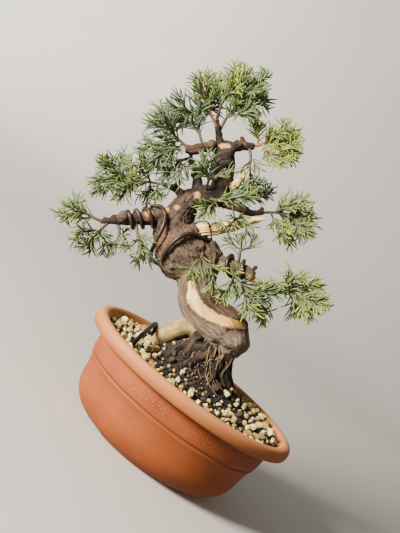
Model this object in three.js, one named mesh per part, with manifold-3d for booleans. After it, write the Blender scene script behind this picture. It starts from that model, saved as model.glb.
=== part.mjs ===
// A juniper bonsai with its oval terracotta training pot.
//
// Millimetres, +Z up. X runs along the pot's long side, Y across it, and the pot stands on z = 0.
// The tree is drawn upright in a frame of its own (x right, y away, z up) and planted leaning in the pot.
// At the end everything is moved so that the origin is the middle of the underside of the whole.

import * as THREE from 'three';
import { mergeVertices } from 'three/addons/utils/BufferGeometryUtils.js';
import Module from 'manifold-3d';

const wasm = await Module();
wasm.setup();

// The pot, an 8 inch oval
const POT_LENGTH = 200;
const POT_WIDTH = 160;
const POT_HEIGHT = 78;
const FLOOR_TOP = 10;
const DRAIN_RADIUS = 7;
const DRAIN_PLACE = 34;
const FOOT_HEIGHT = 4;
const FOOT_PLACE = 58;
const FOOT_GAP = 20;
const FOOT_GAP_LENGTH = 40;
const FOOT_GAP_DEPTH = 3.2;
const ROUND = 28;

// The gap between pieces that touch, and the share of a stem that counts as its very end
const GAP = 0.3;
const END_SHARE = 0.001;

// How the tree stands in the pot
const TREE_FOOT = new THREE.Vector3(0, 8, POT_HEIGHT + 13);
const LEAN_LEFT = THREE.MathUtils.degToRad(37.6);
const LEAN_BACK = THREE.MathUtils.degToRad(12.7);
const tree = new THREE.Group();
tree.position.copy(TREE_FOOT);
tree.rotation.set(-LEAN_BACK, -LEAN_LEFT, 0);
tree.updateMatrix();

// Wire and foliage sizes
const WIRE_RADIUS = 1.75;
const ANCHOR_RADIUS = 2;
const HOOK_RADIUS = 0.6;
const WIRE_STEPS = { left: 44, right: 50, hook: 12, anchor: 20 };
const NEEDLE_RADIUS = 0.85;
const NEEDLE_LENGTH = [9, 15];
const NEEDLE_LEAN = [0.65, 0.95];
const WHORL_STEP = 8;
const WHORL_BAND = 1.8;
const WHORL_TURN = 0.6;

// The room a needle leaves round it, how much wider stems and wires count than they are,
// and the share of a needle near its foot that may be close to its own spray or to other pieces
const NEEDLE_ROOM = 0.6;
const STEM_MARGIN = 1.06;
const WIRE_MARGIN = 1.2;
const FREE_IN_SPRAY = 0.3;
const FREE_OUTSIDE = 0.08;

const { degToRad, lerp } = THREE.MathUtils;
const vec = (p) => new THREE.Vector3(p[0], p[1], p[2]);

// Seeded random numbers from 0 to 1
function seeded(seed) {
  let state = seed;
  return () => {
    state = (state * 1664525 + 1013904223) % 4294967296;
    return state / 4294967296;
  };
}

// A closed three.js geometry as a solid that can be cut and joined
function solid(geometry) {
  const bare = geometry.clone();
  bare.deleteAttribute('normal');
  bare.deleteAttribute('uv');
  const merged = mergeVertices(bare, 1e-4);
  return new wasm.Manifold(new wasm.Mesh({
    numProp: 3,
    vertProperties: new Float32Array(merged.attributes.position.array),
    triVerts: new Uint32Array(merged.index.array),
  }));
}

// The solid as a three.js geometry again
function geometryOf(body) {
  const mesh = body.getMesh();
  const geometry = new THREE.BufferGeometry();
  geometry.setAttribute('position', new THREE.BufferAttribute(new Float32Array(mesh.vertProperties), 3));
  geometry.setIndex(new THREE.BufferAttribute(new Uint32Array(mesh.triVerts), 1));
  geometry.computeVertexNormals();
  return geometry;
}

const joined = (bodies) => bodies.reduce((whole, body) => whole.add(body));

// From the tree's frame to the pot's, and back
const planted = (body) => solid(geometryOf(body).applyMatrix4(tree.matrix));
const unplanted = (route) => route.map((p) => p.clone().applyMatrix4(tree.matrix.clone().invert()));

// A stem follows a smooth curve through points [x, y, z, radius].
// At any place along it, front looks to the viewer (-y) and side is a quarter turn on.
class Stem {
  constructor(points) {
    this.curve = new THREE.CatmullRomCurve3(points.map(vec), false, 'centripetal');
    this.radii = points.map((p) => p[3]);
  }

  radius(t) {
    const place = Math.min(Math.max(t, 0), 1) * (this.radii.length - 1);
    const before = Math.min(Math.floor(place), this.radii.length - 2);
    const part = place - before;
    const smooth = part * part * (3 - 2 * part);
    return lerp(this.radii[before], this.radii[before + 1], smooth);
  }

  frame(t) {
    const centre = this.curve.getPoint(t);
    const ahead = this.curve.getTangent(t);
    const front = new THREE.Vector3(0, -1, 0).addScaledVector(ahead, ahead.y).normalize();
    const side = new THREE.Vector3().crossVectors(ahead, front);
    return { centre, ahead, front, side };
  }

  // The point at an angle round the stem, lifted off its surface
  around(t, angle, lift = 0) {
    const { centre, front, side } = this.frame(t);
    const reach = this.radius(t) + lift;
    centre.addScaledVector(front, Math.cos(angle) * reach);
    return centre.addScaledVector(side, Math.sin(angle) * reach);
  }

  // A cylinder whose rings are carried along the curve; relief changes the radius from place to place,
  // and extra widens the stem and lengthens it at both ends
  body({ sides = 8, rings = 8, extra = 0, relief = () => 1 } = {}) {
    const tube = new THREE.CylinderGeometry(1, 1, 1, sides, rings);
    const at = tube.attributes.position;
    for (let i = 0; i < at.count; i += 1) {
      const t = at.getY(i) + 0.5;
      const reach = Math.hypot(at.getX(i), at.getZ(i));
      const angle = Math.atan2(-at.getZ(i), at.getX(i));
      const { centre, ahead, front, side } = this.frame(t);
      const radius = (this.radius(t) * relief(t, angle) + extra) * reach;
      if (t < END_SHARE) {
        centre.addScaledVector(ahead, -extra);
      }
      if (t > 1 - END_SHARE) {
        centre.addScaledVector(ahead, extra);
      }
      centre.addScaledVector(front, Math.cos(angle) * radius);
      centre.addScaledVector(side, Math.sin(angle) * radius);
      at.setXYZ(i, centre.x, centre.y, centre.z);
    }
    return solid(tube);
  }
}

// A wire of one thickness through a row of points
function wireBody(route, radius, steps, sides = 5) {
  const section = new THREE.Shape();
  for (let i = 0; i < sides; i += 1) {
    const angle = (i / sides) * 2 * Math.PI;
    const x = Math.cos(angle) * radius;
    const y = Math.sin(angle) * radius;
    if (i === 0) {
      section.moveTo(x, y);
    } else {
      section.lineTo(x, y);
    }
  }
  section.closePath();
  const path = new THREE.CatmullRomCurve3(route, false, 'centripetal');
  return solid(new THREE.ExtrudeGeometry(section, { steps, extrudePath: path, bevelEnabled: false }));
}

// Points of a coil round a stem
function coil(stem, from, to, startAngle, endAngle, lift) {
  const turn = Math.abs(endAngle - startAngle) / (2 * Math.PI);
  const count = Math.round(turn * 10);
  const points = [];
  for (let i = 0; i <= count; i += 1) {
    points.push(stem.around(lerp(from, to, i / count), lerp(startAngle, endAngle, i / count), lift));
  }
  return points;
}

// The pot: one turned profile, squeezed to an oval
const SQUEEZE = POT_WIDTH / POT_LENGTH;
const RIM_RADIUS = POT_LENGTH / 2;

function turned(profile) {
  const geometry = new THREE.LatheGeometry(profile.map(([r, z]) => new THREE.Vector2(r, z)), ROUND);
  geometry.rotateX(Math.PI / 2);
  geometry.scale(1, SQUEEZE, 1);
  return solid(geometry);
}

// Inner wall of the pot from the floor to the rim, as [radius, height]
const INNER_WALL = [
  [56, FLOOR_TOP],
  [66, 13],
  [72, 20],
  [76, 34],
  [79, 50],
  [81, 64],
  [87, 72],
];

function makePot() {
  const outside = [
    [0, FOOT_HEIGHT],
    [50, FOOT_HEIGHT],
    [52, 0],
    [60, 0],
    [63, 2.5],
    [70, 6],
    [76, 13],
    [79.5, 21],
    [80.5, 30],
    [82, 38.5],
    [84.5, 44],
    [83.8, 45.5],
    [85.4, 47.5],
    [86.2, 56],
    [86.8, 65.5],
    [97, 66.5],
    [99.4, 68],
    [RIM_RADIUS, 72],
    [98.8, 76.2],
    [95.5, POT_HEIGHT],
    [92, 77.6],
    [89.5, 75.6],
  ];
  const inside = [...INNER_WALL].reverse();
  let pot = turned([...outside, ...inside, [0, FLOOR_TOP]]);
  for (const place of [-DRAIN_PLACE, DRAIN_PLACE]) {
    const drain = new THREE.CylinderGeometry(DRAIN_RADIUS, DRAIN_RADIUS, 3 * FLOOR_TOP, 20);
    drain.rotateX(Math.PI / 2);
    drain.translate(place, 0, 0);
    pot = pot.subtract(solid(drain));
  }
  for (const angle of [45, 135, 225, 315]) {
    const notch = new THREE.BoxGeometry(FOOT_GAP_LENGTH, FOOT_GAP, 2 * FOOT_GAP_DEPTH);
    notch.translate(FOOT_PLACE, 0, 0);
    notch.rotateZ(degToRad(angle));
    notch.scale(1, SQUEEZE, 1);
    pot = pot.subtract(solid(notch));
  }
  return pot;
}

// Mesh screens over the drain holes
const SCREEN_SIZE = 26;
const SCREEN_THICK = 1.2;
const SCREEN_HOLES = 3;
const SCREEN_EDGE = 0.4;
const SCREEN_OPEN = 0.66;

function makeScreen(place) {
  const pitch = SCREEN_SIZE / (SCREEN_HOLES + SCREEN_EDGE);
  const open = pitch * SCREEN_OPEN;
  const sheet = new THREE.BoxGeometry(SCREEN_SIZE, SCREEN_SIZE, SCREEN_THICK);
  let screen = solid(sheet);
  for (let i = 0; i < SCREEN_HOLES; i += 1) {
    for (let j = 0; j < SCREEN_HOLES; j += 1) {
      const hole = new THREE.BoxGeometry(open, open, 3 * SCREEN_THICK);
      const middle = (SCREEN_HOLES - 1) / 2;
      hole.translate((i - middle) * pitch, (j - middle) * pitch, 0);
      screen = screen.subtract(solid(hole));
    }
  }
  return solid(geometryOf(screen).translate(place, 0, FLOOR_TOP + GAP + SCREEN_THICK / 2));
}

// The top of the soil: mounded round the roots, banked under the thick root, and heaped to the rim
// at the right and at the back; the heaps run out before the wall
const SOIL_EDGE = POT_HEIGHT - 4.5;
const SOIL_RADIUS = 87.6;
const SOIL_FADE = 9;
const SOIL_RIPPLE = 0.5;
const MOUND = { x: 2, y: 9, rise: 23, spreadX: 29, spreadY: 26 };
const BANK = { x: -22, y: 9, rise: 11, spreadX: 19, spreadY: 17 };
const HEAP = { x: 60, y: 14, rise: 5.5, spreadX: 36, spreadY: 40 };
const REAR = { x: 0, y: 60, rise: 3.5, spreadX: 70, spreadY: 20 };

function rise(hill, x, y) {
  return hill.rise * Math.exp(-(((x - hill.x) / hill.spreadX) ** 2) - ((y - hill.y) / hill.spreadY) ** 2);
}

function soilHeight(x, y) {
  const ripple = SOIL_RIPPLE * Math.sin(x / 5) * Math.cos(y / 6);
  const fromWall = SOIL_RADIUS - Math.hypot(x, y / SQUEEZE);
  const heaps = rise(HEAP, x, y) + rise(REAR, x, y) + ripple;
  const fade = Math.min(Math.max(fromWall / SOIL_FADE, 0), 1);
  return SOIL_EDGE + rise(MOUND, x, y) + rise(BANK, x, y) + heaps * fade;
}

// The wood, in the tree's own frame: points [x, y, z, radius]
const TRUNK = new Stem([
  [14, 1, 5, 5],
  [16.5, 1, 9.5, 11.5],
  [19, 0, 17.5, 16.8],
  [14, 0, 28, 20],
  [1, 0, 39, 18.5],
  [-7, 0, 51, 18],
  [-9, 0, 63, 16],
  [-10, 0, 76, 18.5],
  [-19, 0, 91, 25],
  [-24, 0, 103, 23.5],
  [-29, 0, 113, 18],
  [-27, 0, 122, 15],
  [-21, 0, 131, 12],
  [-14, 0, 142, 10.5],
  [-11, 0, 147, 7],
]);
const LEFT_LOW = new Stem([
  [-24, 0, 119, 11],
  [-39, -4, 125, 7.5],
  [-51, -8, 123, 6],
  [-64, -10, 121, 5.2],
  [-76, -12, 120, 4.4],
  [-83, -14, 119, 2.9],
  [-91, -15, 118.5, 2.1],
]);
const RIGHT_LOW = new Stem([
  [-2, -2, 87, 10],
  [12, -7, 84, 6.8],
  [23, -14, 79, 5.8],
  [32, -17, 75, 5.5],
  [38, -18, 70.5, 5.2],
]);
const BRANCHES = [
  // lump on the right of the trunk
  new Stem([[-6, 0, 72, 6], [-3, -2, 79, 13], [-1.5, -3, 88, 15.5], [-2, -3, 96, 13], [-5, -2, 104, 6]]),
  // from the knot across to the upper trunk
  new Stem([[-17, 0, 139, 7], [-8, 0, 143, 10], [4, 0, 142.5, 9.5], [13, 0, 144, 9], [19, 0, 147, 5]]),
  // middle left branch
  new Stem([[-16, 1, 137, 6.5], [-22, 6, 146, 4.2], [-28, 10, 152, 3.1], [-38, 14, 157.5, 2.4]]),
  // branch rising from the knot
  new Stem([[-12, 0, 141, 8], [-9, 0, 152, 7], [-9, 0, 162, 5.5], [-12, -1, 170, 4.5],
    [-16, -2, 178, 3.2]]),
  // right middle branch, with its cut stub
  new Stem([[3, 0, 142, 7], [16, 0, 137, 4.6], [28, 0, 133, 4], [35, 0, 130.5, 3.7]]),
  new Stem([[26, 0, 133.5, 3.4], [36, 0, 129, 3.1], [42, 0, 128.5, 2.7], [49, 0, 129, 2.3]]),
  new Stem([[46, 0, 129, 2.4], [48, -1, 134, 2.2]]),
  // thin end of the right low branch
  new Stem([[33, -16, 72, 3], [38, -17, 68.6, 2.8], [43, -17, 66.5, 2.3]]),
];
const TOP_BRANCHES = [
  // top left branch
  new Stem([[15, 0, 184, 7.5], [5, -2, 188, 6], [-4, -4, 186, 5.5], [-14, -5, 183.5, 5.5],
    [-19, -6, 184.5, 4.5]]),
  // top right branch and its dead stub
  new Stem([[15, 0, 184, 7], [25, 2, 188, 5], [35, 3, 189, 4.6], [42, 3, 189, 4]]),
  new Stem([[33, 3, 189, 3], [30, 2, 198, 2]]),
  // leader
  new Stem([[13, 6, 183, 5], [11.5, 7.5, 195, 3.8], [8, 2, 213, 2.6]]),
];
const UPPER_TRUNK = new Stem([
  [11, 0, 139, 9.5],
  [13, 0, 152, 10],
  [14, 0, 166, 9.5],
  [15.5, 0, 182, 9],
  [15.5, 0, 203, 8.5],
]);
const ROOTS = [
  // stump down into the soil
  new Stem([[-16, 7, -26, 12], [-8, 5, -14, 12], [0, 5, -3, 13], [9, 4, 8, 15], [16, 2, 18, 13]]),
  // thick root to the left
  new Stem([[-3, 1, 29, 10], [-19, -1, 29, 8.5], [-30, 2, 26, 8.5], [-40, 7, 19, 8.5], [-47, 11, 8, 7.5],
    [-53, 13, -4, 5.5]]),
  // smaller root in front
  new Stem([[-8, -5, 22, 6], [-15, -10, 11, 4.6], [-21, -10, 1, 4], [-28, -9, -11, 3.2]]),
];
// Surface roots run down the mound: direction and reach in the pot's frame, and thickness
const SURFACE_ROOTS = [
  { angle: 207, reach: 40, radius: 5 },
  { angle: 236, reach: 32, radius: 4.4 },
  { angle: 290, reach: 28, radius: 3.4 },
  { angle: 340, reach: 36, radius: 3.6 },
  { angle: 30, reach: 34, radius: 4.4 },
  { angle: 150, reach: 38, radius: 4.2 },
];
const ROOT_SHARES = [0.15, 0.45, 0.75, 1];
const ROOT_LIFTS = [2.5, 1, 0, -5];
const ROOT_TAPER = [1.35, 1, 0.75, 0.5];
const ROOT_SWAY = 9;

function surfaceRoot({ angle, reach, radius }) {
  const points = ROOT_SHARES.map((share, i) => {
    const way = degToRad(angle + ROOT_SWAY * Math.sin(3 * i + angle));
    const x = MOUND.x + Math.cos(way) * reach * share;
    const y = MOUND.y + Math.sin(way) * reach * share;
    return new THREE.Vector3(x, y, soilHeight(x, y) + ROOT_LIFTS[i]);
  });
  return new Stem(unplanted(points).map((p, i) => [...p.toArray(), radius * ROOT_TAPER[i]]));
}

const JIN_RIGHT = new Stem([
  [-16, -3, 110, 5],
  [-6, -9, 111.5, 5.6],
  [4, -13, 112, 5.5],
  [20, -16, 114, 4.6],
  [36, -16, 118, 3.2],
  [49, -18, 120, 1.2],
]);
const JIN_UPPER = new Stem([
  [12, -1, 148, 4.4],
  [23, -5, 151, 3.8],
  [30, -8, 159, 2.6],
  [36, -9, 166, 0.8],
]);
const SHARI = new Stem([
  [-14, -14.5, 70, 1.5],
  [-14, -15, 63, 4.2],
  [-13, -16, 54, 5.8],
  [-6, -17.5, 44, 5.5],
  [4, -19, 38, 5],
  [14, -19.5, 33.5, 4.4],
  [25, -17, 32, 3.6],
  [32, -10.5, 31.5, 2.8],
  [35, -5, 31, 1.5],
]);

// Flutes along the old trunk, deeper low down
function trunkRelief(t, angle) {
  const flutes = 0.035 * Math.sin(5 * angle + 9 * t) + 0.025 * Math.sin(3 * angle - 14 * t);
  const knobs = 0.02 * Math.sin(31 * t + 2 * angle);
  return 1 + flutes + knobs;
}

const barkRelief = (t, angle) => 1 + 0.05 * Math.sin(3 * angle + 17 * t) + 0.04 * Math.sin(29 * t);

// The cut across the top of the upper trunk, sloping to the front
function topCut() {
  const block = new THREE.BoxGeometry(60, 60, 30);
  block.translate(0, 0, 15);
  block.rotateX(degToRad(32));
  block.translate(15.5, 0, 189);
  return solid(block);
}

// All the living wood; extra widens it to leave room in what lies round it
function makeWood(extra = 0) {
  const parts = [
    TRUNK.body({ sides: 12, rings: 20, extra, relief: trunkRelief }),
    LEFT_LOW.body({ sides: 7, rings: 7, extra }),
    RIGHT_LOW.body({ sides: 7, rings: 5, extra }),
    ...BRANCHES.map((stem) => stem.body({ sides: 6, rings: 4, extra, relief: barkRelief })),
    ...ROOTS.map((stem) => stem.body({ sides: 5, rings: 5, extra, relief: barkRelief })),
    ...SURFACE_ROOTS.map((root) => surfaceRoot(root).body({ sides: 4, rings: 4, extra })),
  ];
  const column = UPPER_TRUNK.body({ sides: 8, rings: 6, extra, relief: barkRelief });
  const crown = TOP_BRANCHES.map((stem) => stem.body({ sides: 6, rings: 4, extra, relief: barkRelief }));
  return joined([...parts, column.subtract(topCut()), ...crown]);
}

// Training wires: coiled round a branch and led on across the trunk
const WIRE_LIFT = WIRE_RADIUS + 0.7;

const WIRE_LEFT_ROUTE = [
  ...coil(LEFT_LOW, 3.35 / 6, 1.5 / 6, Math.PI / 2, Math.PI / 2 - 6 * Math.PI, WIRE_LIFT),
  vec([-40, -11, 132]),
  vec([-36.5, -16.5, 126]),
  vec([-36, -20, 118]),
  vec([-40, -21, 109]),
  vec([-45.5, -16, 101]),
  vec([-49, -6, 95]),
  vec([-48, 6, 90]),
  vec([-39, 19, 86]),
  vec([-24, 26, 84]),
];
const WIRE_RIGHT_ROUTE = [
  vec([-26, 24, 112]),
  vec([-11, 20, 109]),
  vec([1, 8, 105]),
  vec([2, -7, 102.5]),
  vec([-4, -17, 103.5]),
  vec([-11, -23, 106]),
  vec([-19, -26.5, 105]),
  vec([-27, -27, 100]),
  vec([-34, -24, 93]),
  vec([-38, -17, 86]),
  vec([-35, -5, 79]),
  vec([-27, 10, 76]),
  vec([-12, 22, 78]),
  vec([6, 19, 83]),
  ...coil(RIGHT_LOW, 0.3, 0.9, -1.0 * Math.PI, 3.6 * Math.PI, WIRE_LIFT),
];
const HOOK_ROUTE = [
  [-13, -8, 118],
  [-7, -12, 118.6],
  [0, -17.5, 117.2],
  [2, -20.6, 111],
  [3, -19.5, 105.5],
  [3.5, -15, 102.5],
].map(vec);

// The anchor wire over the root, in the pot's frame
const ANCHOR_ROUTE = [
  [-56, -42, 58],
  [-56, -41, 72],
  [-56, -30, 80],
  [-56, -8, 85.5],
  [-56, 14, 88],
  [-55, 32, 83],
  [-54, 41, 72],
  [-54, 42, 58],
].map(vec);

// Foliage: each spray has a main twig and side twigs [place on the main twig, middle, tip]
const SPRAYS = [
  { name: 'spray_apex_left', main: [[9, 3.5, 206], [3, -3, 217], [-1, -6, 232], [1, -8, 248]],
    sides: [[0.55, [-4, -12, 234], [-8, -16, 243]]] },
  { name: 'spray_apex_top', main: [[8, 2, 211], [13, 2, 228], [19, 2, 242], [25, 0, 255]],
    sides: [[0.25, [7, 8, 239], [9, 12, 253]], [0.45, [26, -10, 238], [33, -14, 247]],
      [0.4, [22, 16, 244], [30, 24, 257]]] },
  { name: 'spray_apex_right', main: [[10.5, 5.5, 203], [20, 4, 219], [34, 6, 229], [47, 8, 237]],
    sides: [[0.4, [34, -8, 233], [48, -14, 246]], [0.6, [42, 16, 234], [52, 22, 236]],
      [0.25, [28, -8, 215], [37, -14, 213]]] },
  { name: 'spray_upper_left', main: [[-4, -4, 188], [-7, -5, 199], [-8, -6, 212], [-7, -6, 223]],
    sides: [[0.7, [-18, -10, 218], [-30, -12, 220]], [0.5, [-17, 0, 211], [-28, 6, 217]],
      [0.8, [-1, 2, 224], [3, 6, 228]]] },
  { name: 'spray_left_fan', main: [[-17, -6, 185], [-26, -8, 193], [-36, -10, 202], [-47, -12, 206]],
    sides: [[0.25, [-35, -1, 191], [-53, 4, 189]], [0.4, [-31, -16, 202], [-39, -20, 211]],
      [0.15, [-29, -14, 181], [-43, -18, 173]]] },
  { name: 'spray_left_tuft', main: [[-15.5, -2, 177], [-23, -4, 174], [-31, -6, 167], [-37, -8, 161]],
    sides: [[0.35, [-22, -12, 166], [-24, -14, 158]], [0.25, [-31, 4, 178], [-42, 8, 178]]] },
  { name: 'spray_mid_left', main: [[-37, 13.5, 157], [-55, 15, 160], [-74, 15, 161], [-98, 15, 163]],
    sides: [[0.25, [-53, 5, 166], [-54, 0, 175]], [0.4, [-69, 22, 172], [-77, 26, 183]],
      [0.6, [-82, 8, 169], [-91, 4, 175]], [0.7, [-89, 22, 158], [-98, 26, 155]],
      [0.25, [-52, 22, 154], [-54, 26, 150]], [0.45, [-70, 6, 152], [-78, 0, 146]],
      [0.12, [-44, 8, 150], [-42, 4, 145]]] },
  { name: 'spray_left_low_outer',
    main: [[-90, -15, 118.5], [-98, -17, 122], [-107, -18, 127], [-118, -18, 131]],
    sides: [[0.5, [-110, -26, 123], [-117, -29, 120]], [0.6, [-111, -12, 134], [-116, -8, 137]]] },
  { name: 'spray_left_low_hanging',
    main: [[-84, -14, 118], [-91, -18, 110], [-96, -19, 103], [-100, -20, 97]],
    sides: [[0.35, [-100, -26, 109], [-106, -28, 106]], [0.4, [-88, -10, 104], [-86, -6, 99]]] },
  { name: 'spray_left_low_stringy',
    main: [[-76, -12, 118], [-75, -14, 108], [-77, -15, 102], [-79, -15, 96]],
    sides: [[0.4, [-72, -8, 108], [-69, -4, 102]]] },
  { name: 'spray_left_under', main: [[-61, -11, 118], [-59, -16, 107], [-53, -18, 95], [-50, -18, 86]],
    sides: [[0.4, [-59, -22, 101], [-63, -26, 96]], [0.6, [-57, -9, 92], [-60, -4, 86]]] },
  { name: 'spray_centre_up', main: [[-2, -6, 146], [1, -15, 154], [3, -17, 163], [7, -18, 171]],
    sides: [[0.4, [-3, -20, 161], [-5, -22, 169]], [0.35, [9, -22, 156], [18, -26, 159]]] },
  { name: 'spray_centre_right', main: [[2, -6, 140], [9, -18, 136], [22, -22, 137], [35, -22, 138]],
    sides: [[0.3, [3, -24, 130], [-3, -28, 126]], [0.55, [22, -16, 145], [28, -14, 150]]] },
  { name: 'spray_right_back', main: [[25, 2, 135], [34, 14, 143], [44, 20, 149], [55, 24, 153]],
    sides: [[0.5, [38, 12, 152], [41, 8, 156]]] },
  { name: 'spray_right_mid_front',
    main: [[31.5, -2, 131], [29, -17, 123], [22, -25, 117], [15, -28, 110]],
    sides: [[0.4, [32, -24, 113], [32, -27, 106]]] },
  { name: 'spray_right_mid', main: [[47, 0, 129], [60, 0, 129], [72, 0, 126], [84, 0, 122]],
    sides: [[0.3, [68, -6, 133], [83, -8, 136]], [0.4, [71, 6, 118], [74, 8, 109]],
      [0.6, [80, 8, 129], [86, 12, 132]], [0.65, [78, -8, 115], [84, -10, 111]],
      [0.2, [59, -8, 117], [64, -10, 107]]] },
  { name: 'spray_right_low_end', main: [[41, -17, 67], [57, -16, 62], [71, -16, 60], [86, -16, 55]],
    sides: [[0.6, [80, -10, 65], [92, -8, 64]], [0.7, [80, -20, 49], [85, -22, 39]],
      [0.55, [73, -8, 50], [76, -4, 42]], [0.75, [86, -26, 50], [93, -30, 48]],
      [0.5, [67, -20, 66], [71, -22, 69]]] },
  { name: 'spray_right_low_mid', main: [[19, -13, 79], [22, -28, 71], [29, -31, 62], [39, -29, 53]],
    sides: [[0.6, [31, -34, 50], [34, -36, 41]], [0.35, [17, -34, 59], [12, -38, 53]],
      [0.7, [45, -24, 58], [54, -22, 60]], [0.75, [42, -20, 47], [46, -16, 39]]] },
  { name: 'spray_front_hanging', main: [[-4, -15, 92], [-5, -31, 85], [-7, -34, 76], [-9, -34, 68]],
    sides: [[0.35, [-13, -36, 77], [-16, -38, 71]], [0.4, [2, -36, 76], [5, -38, 66]]] },
  { name: 'spray_right_up', main: [[25.5, -15, 80], [27, -19, 90], [28, -19, 96], [29, -18, 101]],
    sides: [[0.5, [22, -14, 99], [19, -12, 105]], [0.45, [35, -24, 95], [39, -26, 96]]] },
  { name: 'spray_top_right', main: [[40, 3, 189], [52, 4, 192], [63, 4, 194], [72, 4, 194]],
    sides: [[0.3, [58, -4, 197], [69, -8, 200]], [0.5, [66, 8, 188], [75, 12, 184]],
      [0.25, [54, -6, 180], [64, -10, 171]], [0.65, [69, 12, 202], [75, 15, 203]],
      [0.6, [67, -8, 185], [74, -12, 182]], [0.12, [45, 0, 198], [45, 0, 206]]] },
  { name: 'spray_top_right_hanging', main: [[37, 2.5, 188], [38, -2, 177], [37, -4, 168], [38, -4, 157]],
    sides: [[0.45, [31, -8, 167], [29, -10, 161]]] },
];
const MAIN_TWIG = [1.5, 1.3, 1.0, 0.75];
const SIDE_TWIG = [0.95, 0.85, 0.7];

// What lies in the way of a needle: rods between two points with an owner
const rods = [];

function addRods(stem, owner, count) {
  for (let i = 0; i < count; i += 1) {
    const from = i / count;
    const to = (i + 1) / count;
    const radius = Math.max(stem.radius(from), stem.radius(to)) * STEM_MARGIN;
    rods.push({ a: stem.curve.getPoint(from), b: stem.curve.getPoint(to), radius, owner, stem });
  }
}

function addRouteRods(route, radius, owner) {
  for (let i = 1; i < route.length; i += 1) {
    rods.push({ a: route[i - 1], b: route[i], radius: radius * WIRE_MARGIN, owner });
  }
}

// The least distance from the part of a needle that lies past start to a rod
function rodDistance(foot, tip, rod, start) {
  const line = new THREE.Line3(rod.a, rod.b);
  const near = new THREE.Vector3();
  let least = Infinity;
  for (let i = 0; i <= 8; i += 1) {
    const point = new THREE.Vector3().lerpVectors(foot, tip, lerp(start, 1, i / 8));
    line.closestPointToPoint(point, true, near);
    least = Math.min(least, near.distanceTo(point));
  }
  return least;
}

// A needle keeps clear of everything but its own twig; within its spray only its outer part has to
function isClear(foot, tip, owner, stem) {
  return rods.every((rod) => {
    if (rod.stem === stem) {
      return true;
    }
    const own = rod.owner === owner;
    const room = NEEDLE_RADIUS + (own ? 0 : NEEDLE_ROOM);
    return rodDistance(foot, tip, rod, own ? FREE_IN_SPRAY : FREE_OUTSIDE) > rod.radius + room;
  });
}

// A three-sided twig whose needles stand in whorls of three, raised from short bands of its own faces.
// Each whorl is turned on from the last, all lean forward, and one needle ends the twig.
function leafyTwig(stem, first, owner, random) {
  const length = stem.curve.getLength();
  const count = Math.max(2, Math.round(length * (1 - first) / WHORL_STEP));
  const places = [0, first * 0.5];
  for (let i = 0; i < count; i += 1) {
    const middle = lerp(first, 1, (i + 0.4) / count);
    const half = WHORL_BAND / length / 2;
    places.push(middle - half, middle + half);
  }
  places.push(1);

  const last = stem.frame(1);
  const pointed = last.centre.clone().addScaledVector(last.ahead, NEEDLE_LENGTH[0]);
  const end = isClear(last.centre, pointed, owner, stem) ? pointed : last.centre;
  rods.push({ a: last.centre, b: end, radius: NEEDLE_RADIUS, owner });

  const rows = places.length - 1;
  const tube = new THREE.CylinderGeometry(1, 1, 1, 3, rows);
  const at = tube.attributes.position;
  const rowOf = [];
  for (let i = 0; i < at.count; i += 1) {
    const row = Math.round((at.getY(i) + 0.5) * rows);
    const { centre, front, side } = stem.frame(places[row]);
    const reach = Math.hypot(at.getX(i), at.getZ(i)) * stem.radius(places[row]);
    const angle = Math.atan2(-at.getZ(i), at.getX(i)) + WHORL_TURN * Math.floor(row / 2);
    centre.addScaledVector(front, Math.cos(angle) * reach);
    centre.addScaledVector(side, Math.sin(angle) * reach);
    if (row === rows && reach < 0.01) {
      centre.copy(end);
    }
    at.setXYZ(i, centre.x, centre.y, centre.z);
    rowOf.push(row);
  }

  const faces = [];
  for (let i = 0; i < tube.index.count; i += 3) {
    const corners = [0, 1, 2].map((k) => tube.index.getX(i + k));
    const points = corners.map((corner) => new THREE.Vector3().fromBufferAttribute(at, corner));
    const low = Math.min(...corners.map((corner) => rowOf[corner]));
    const lowCorners = corners.filter((corner) => rowOf[corner] === low).length;
    const inBand = low >= 2 && low % 2 === 0 && low < rows - 1;
    if (!inBand || lowCorners !== 2) {
      faces.push(...points);
      continue;
    }
    const foot = new THREE.Vector3().add(points[0]).add(points[1]).add(points[2]).divideScalar(3);
    const { centre, ahead } = stem.frame((places[low] + places[low + 1]) / 2);
    const out = foot.clone().sub(centre).projectOnPlane(ahead).normalize();
    const lean = lerp(...NEEDLE_LEAN, random());
    const direction = ahead.clone().multiplyScalar(Math.cos(lean)).addScaledVector(out, Math.sin(lean));
    const tip = foot.clone().addScaledVector(direction, lerp(...NEEDLE_LENGTH, random()));
    if (isClear(foot, tip, owner, stem)) {
      rods.push({ a: foot, b: tip, radius: NEEDLE_RADIUS, owner });
      faces.push(points[0], points[1], tip, points[1], points[2], tip, points[2], points[0], tip);
    } else {
      faces.push(...points);
    }
  }
  return solid(new THREE.BufferGeometry().setFromPoints(faces));
}

function twigsOf(spray) {
  const main = new Stem(spray.main.map((p, i) => [...p, MAIN_TWIG[i]]));
  const sides = spray.sides.map(([place, middle, tip]) => {
    const root = main.curve.getPoint(place).toArray();
    return new Stem([root, middle, tip].map((p, i) => [...p, SIDE_TWIG[i]]));
  });
  return [main, ...sides];
}

function makeSprays(woodRoom) {
  const twigs = new Map(SPRAYS.map((spray) => [spray.name, twigsOf(spray)]));
  for (const [name, stems] of twigs) {
    stems.forEach((stem) => addRods(stem, name, 4));
  }
  const made = [];
  SPRAYS.forEach((spray, index) => {
    const random = seeded(101 + 7 * index);
    const bodies = [];
    twigs.get(spray.name).forEach((stem, i) => {
      bodies.push(leafyTwig(stem, i === 0 ? 0.35 : 0.15, spray.name, random));
    });
    made.push([spray.name, joined(bodies).subtract(woodRoom)]);
  });
  return made;
}

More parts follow.
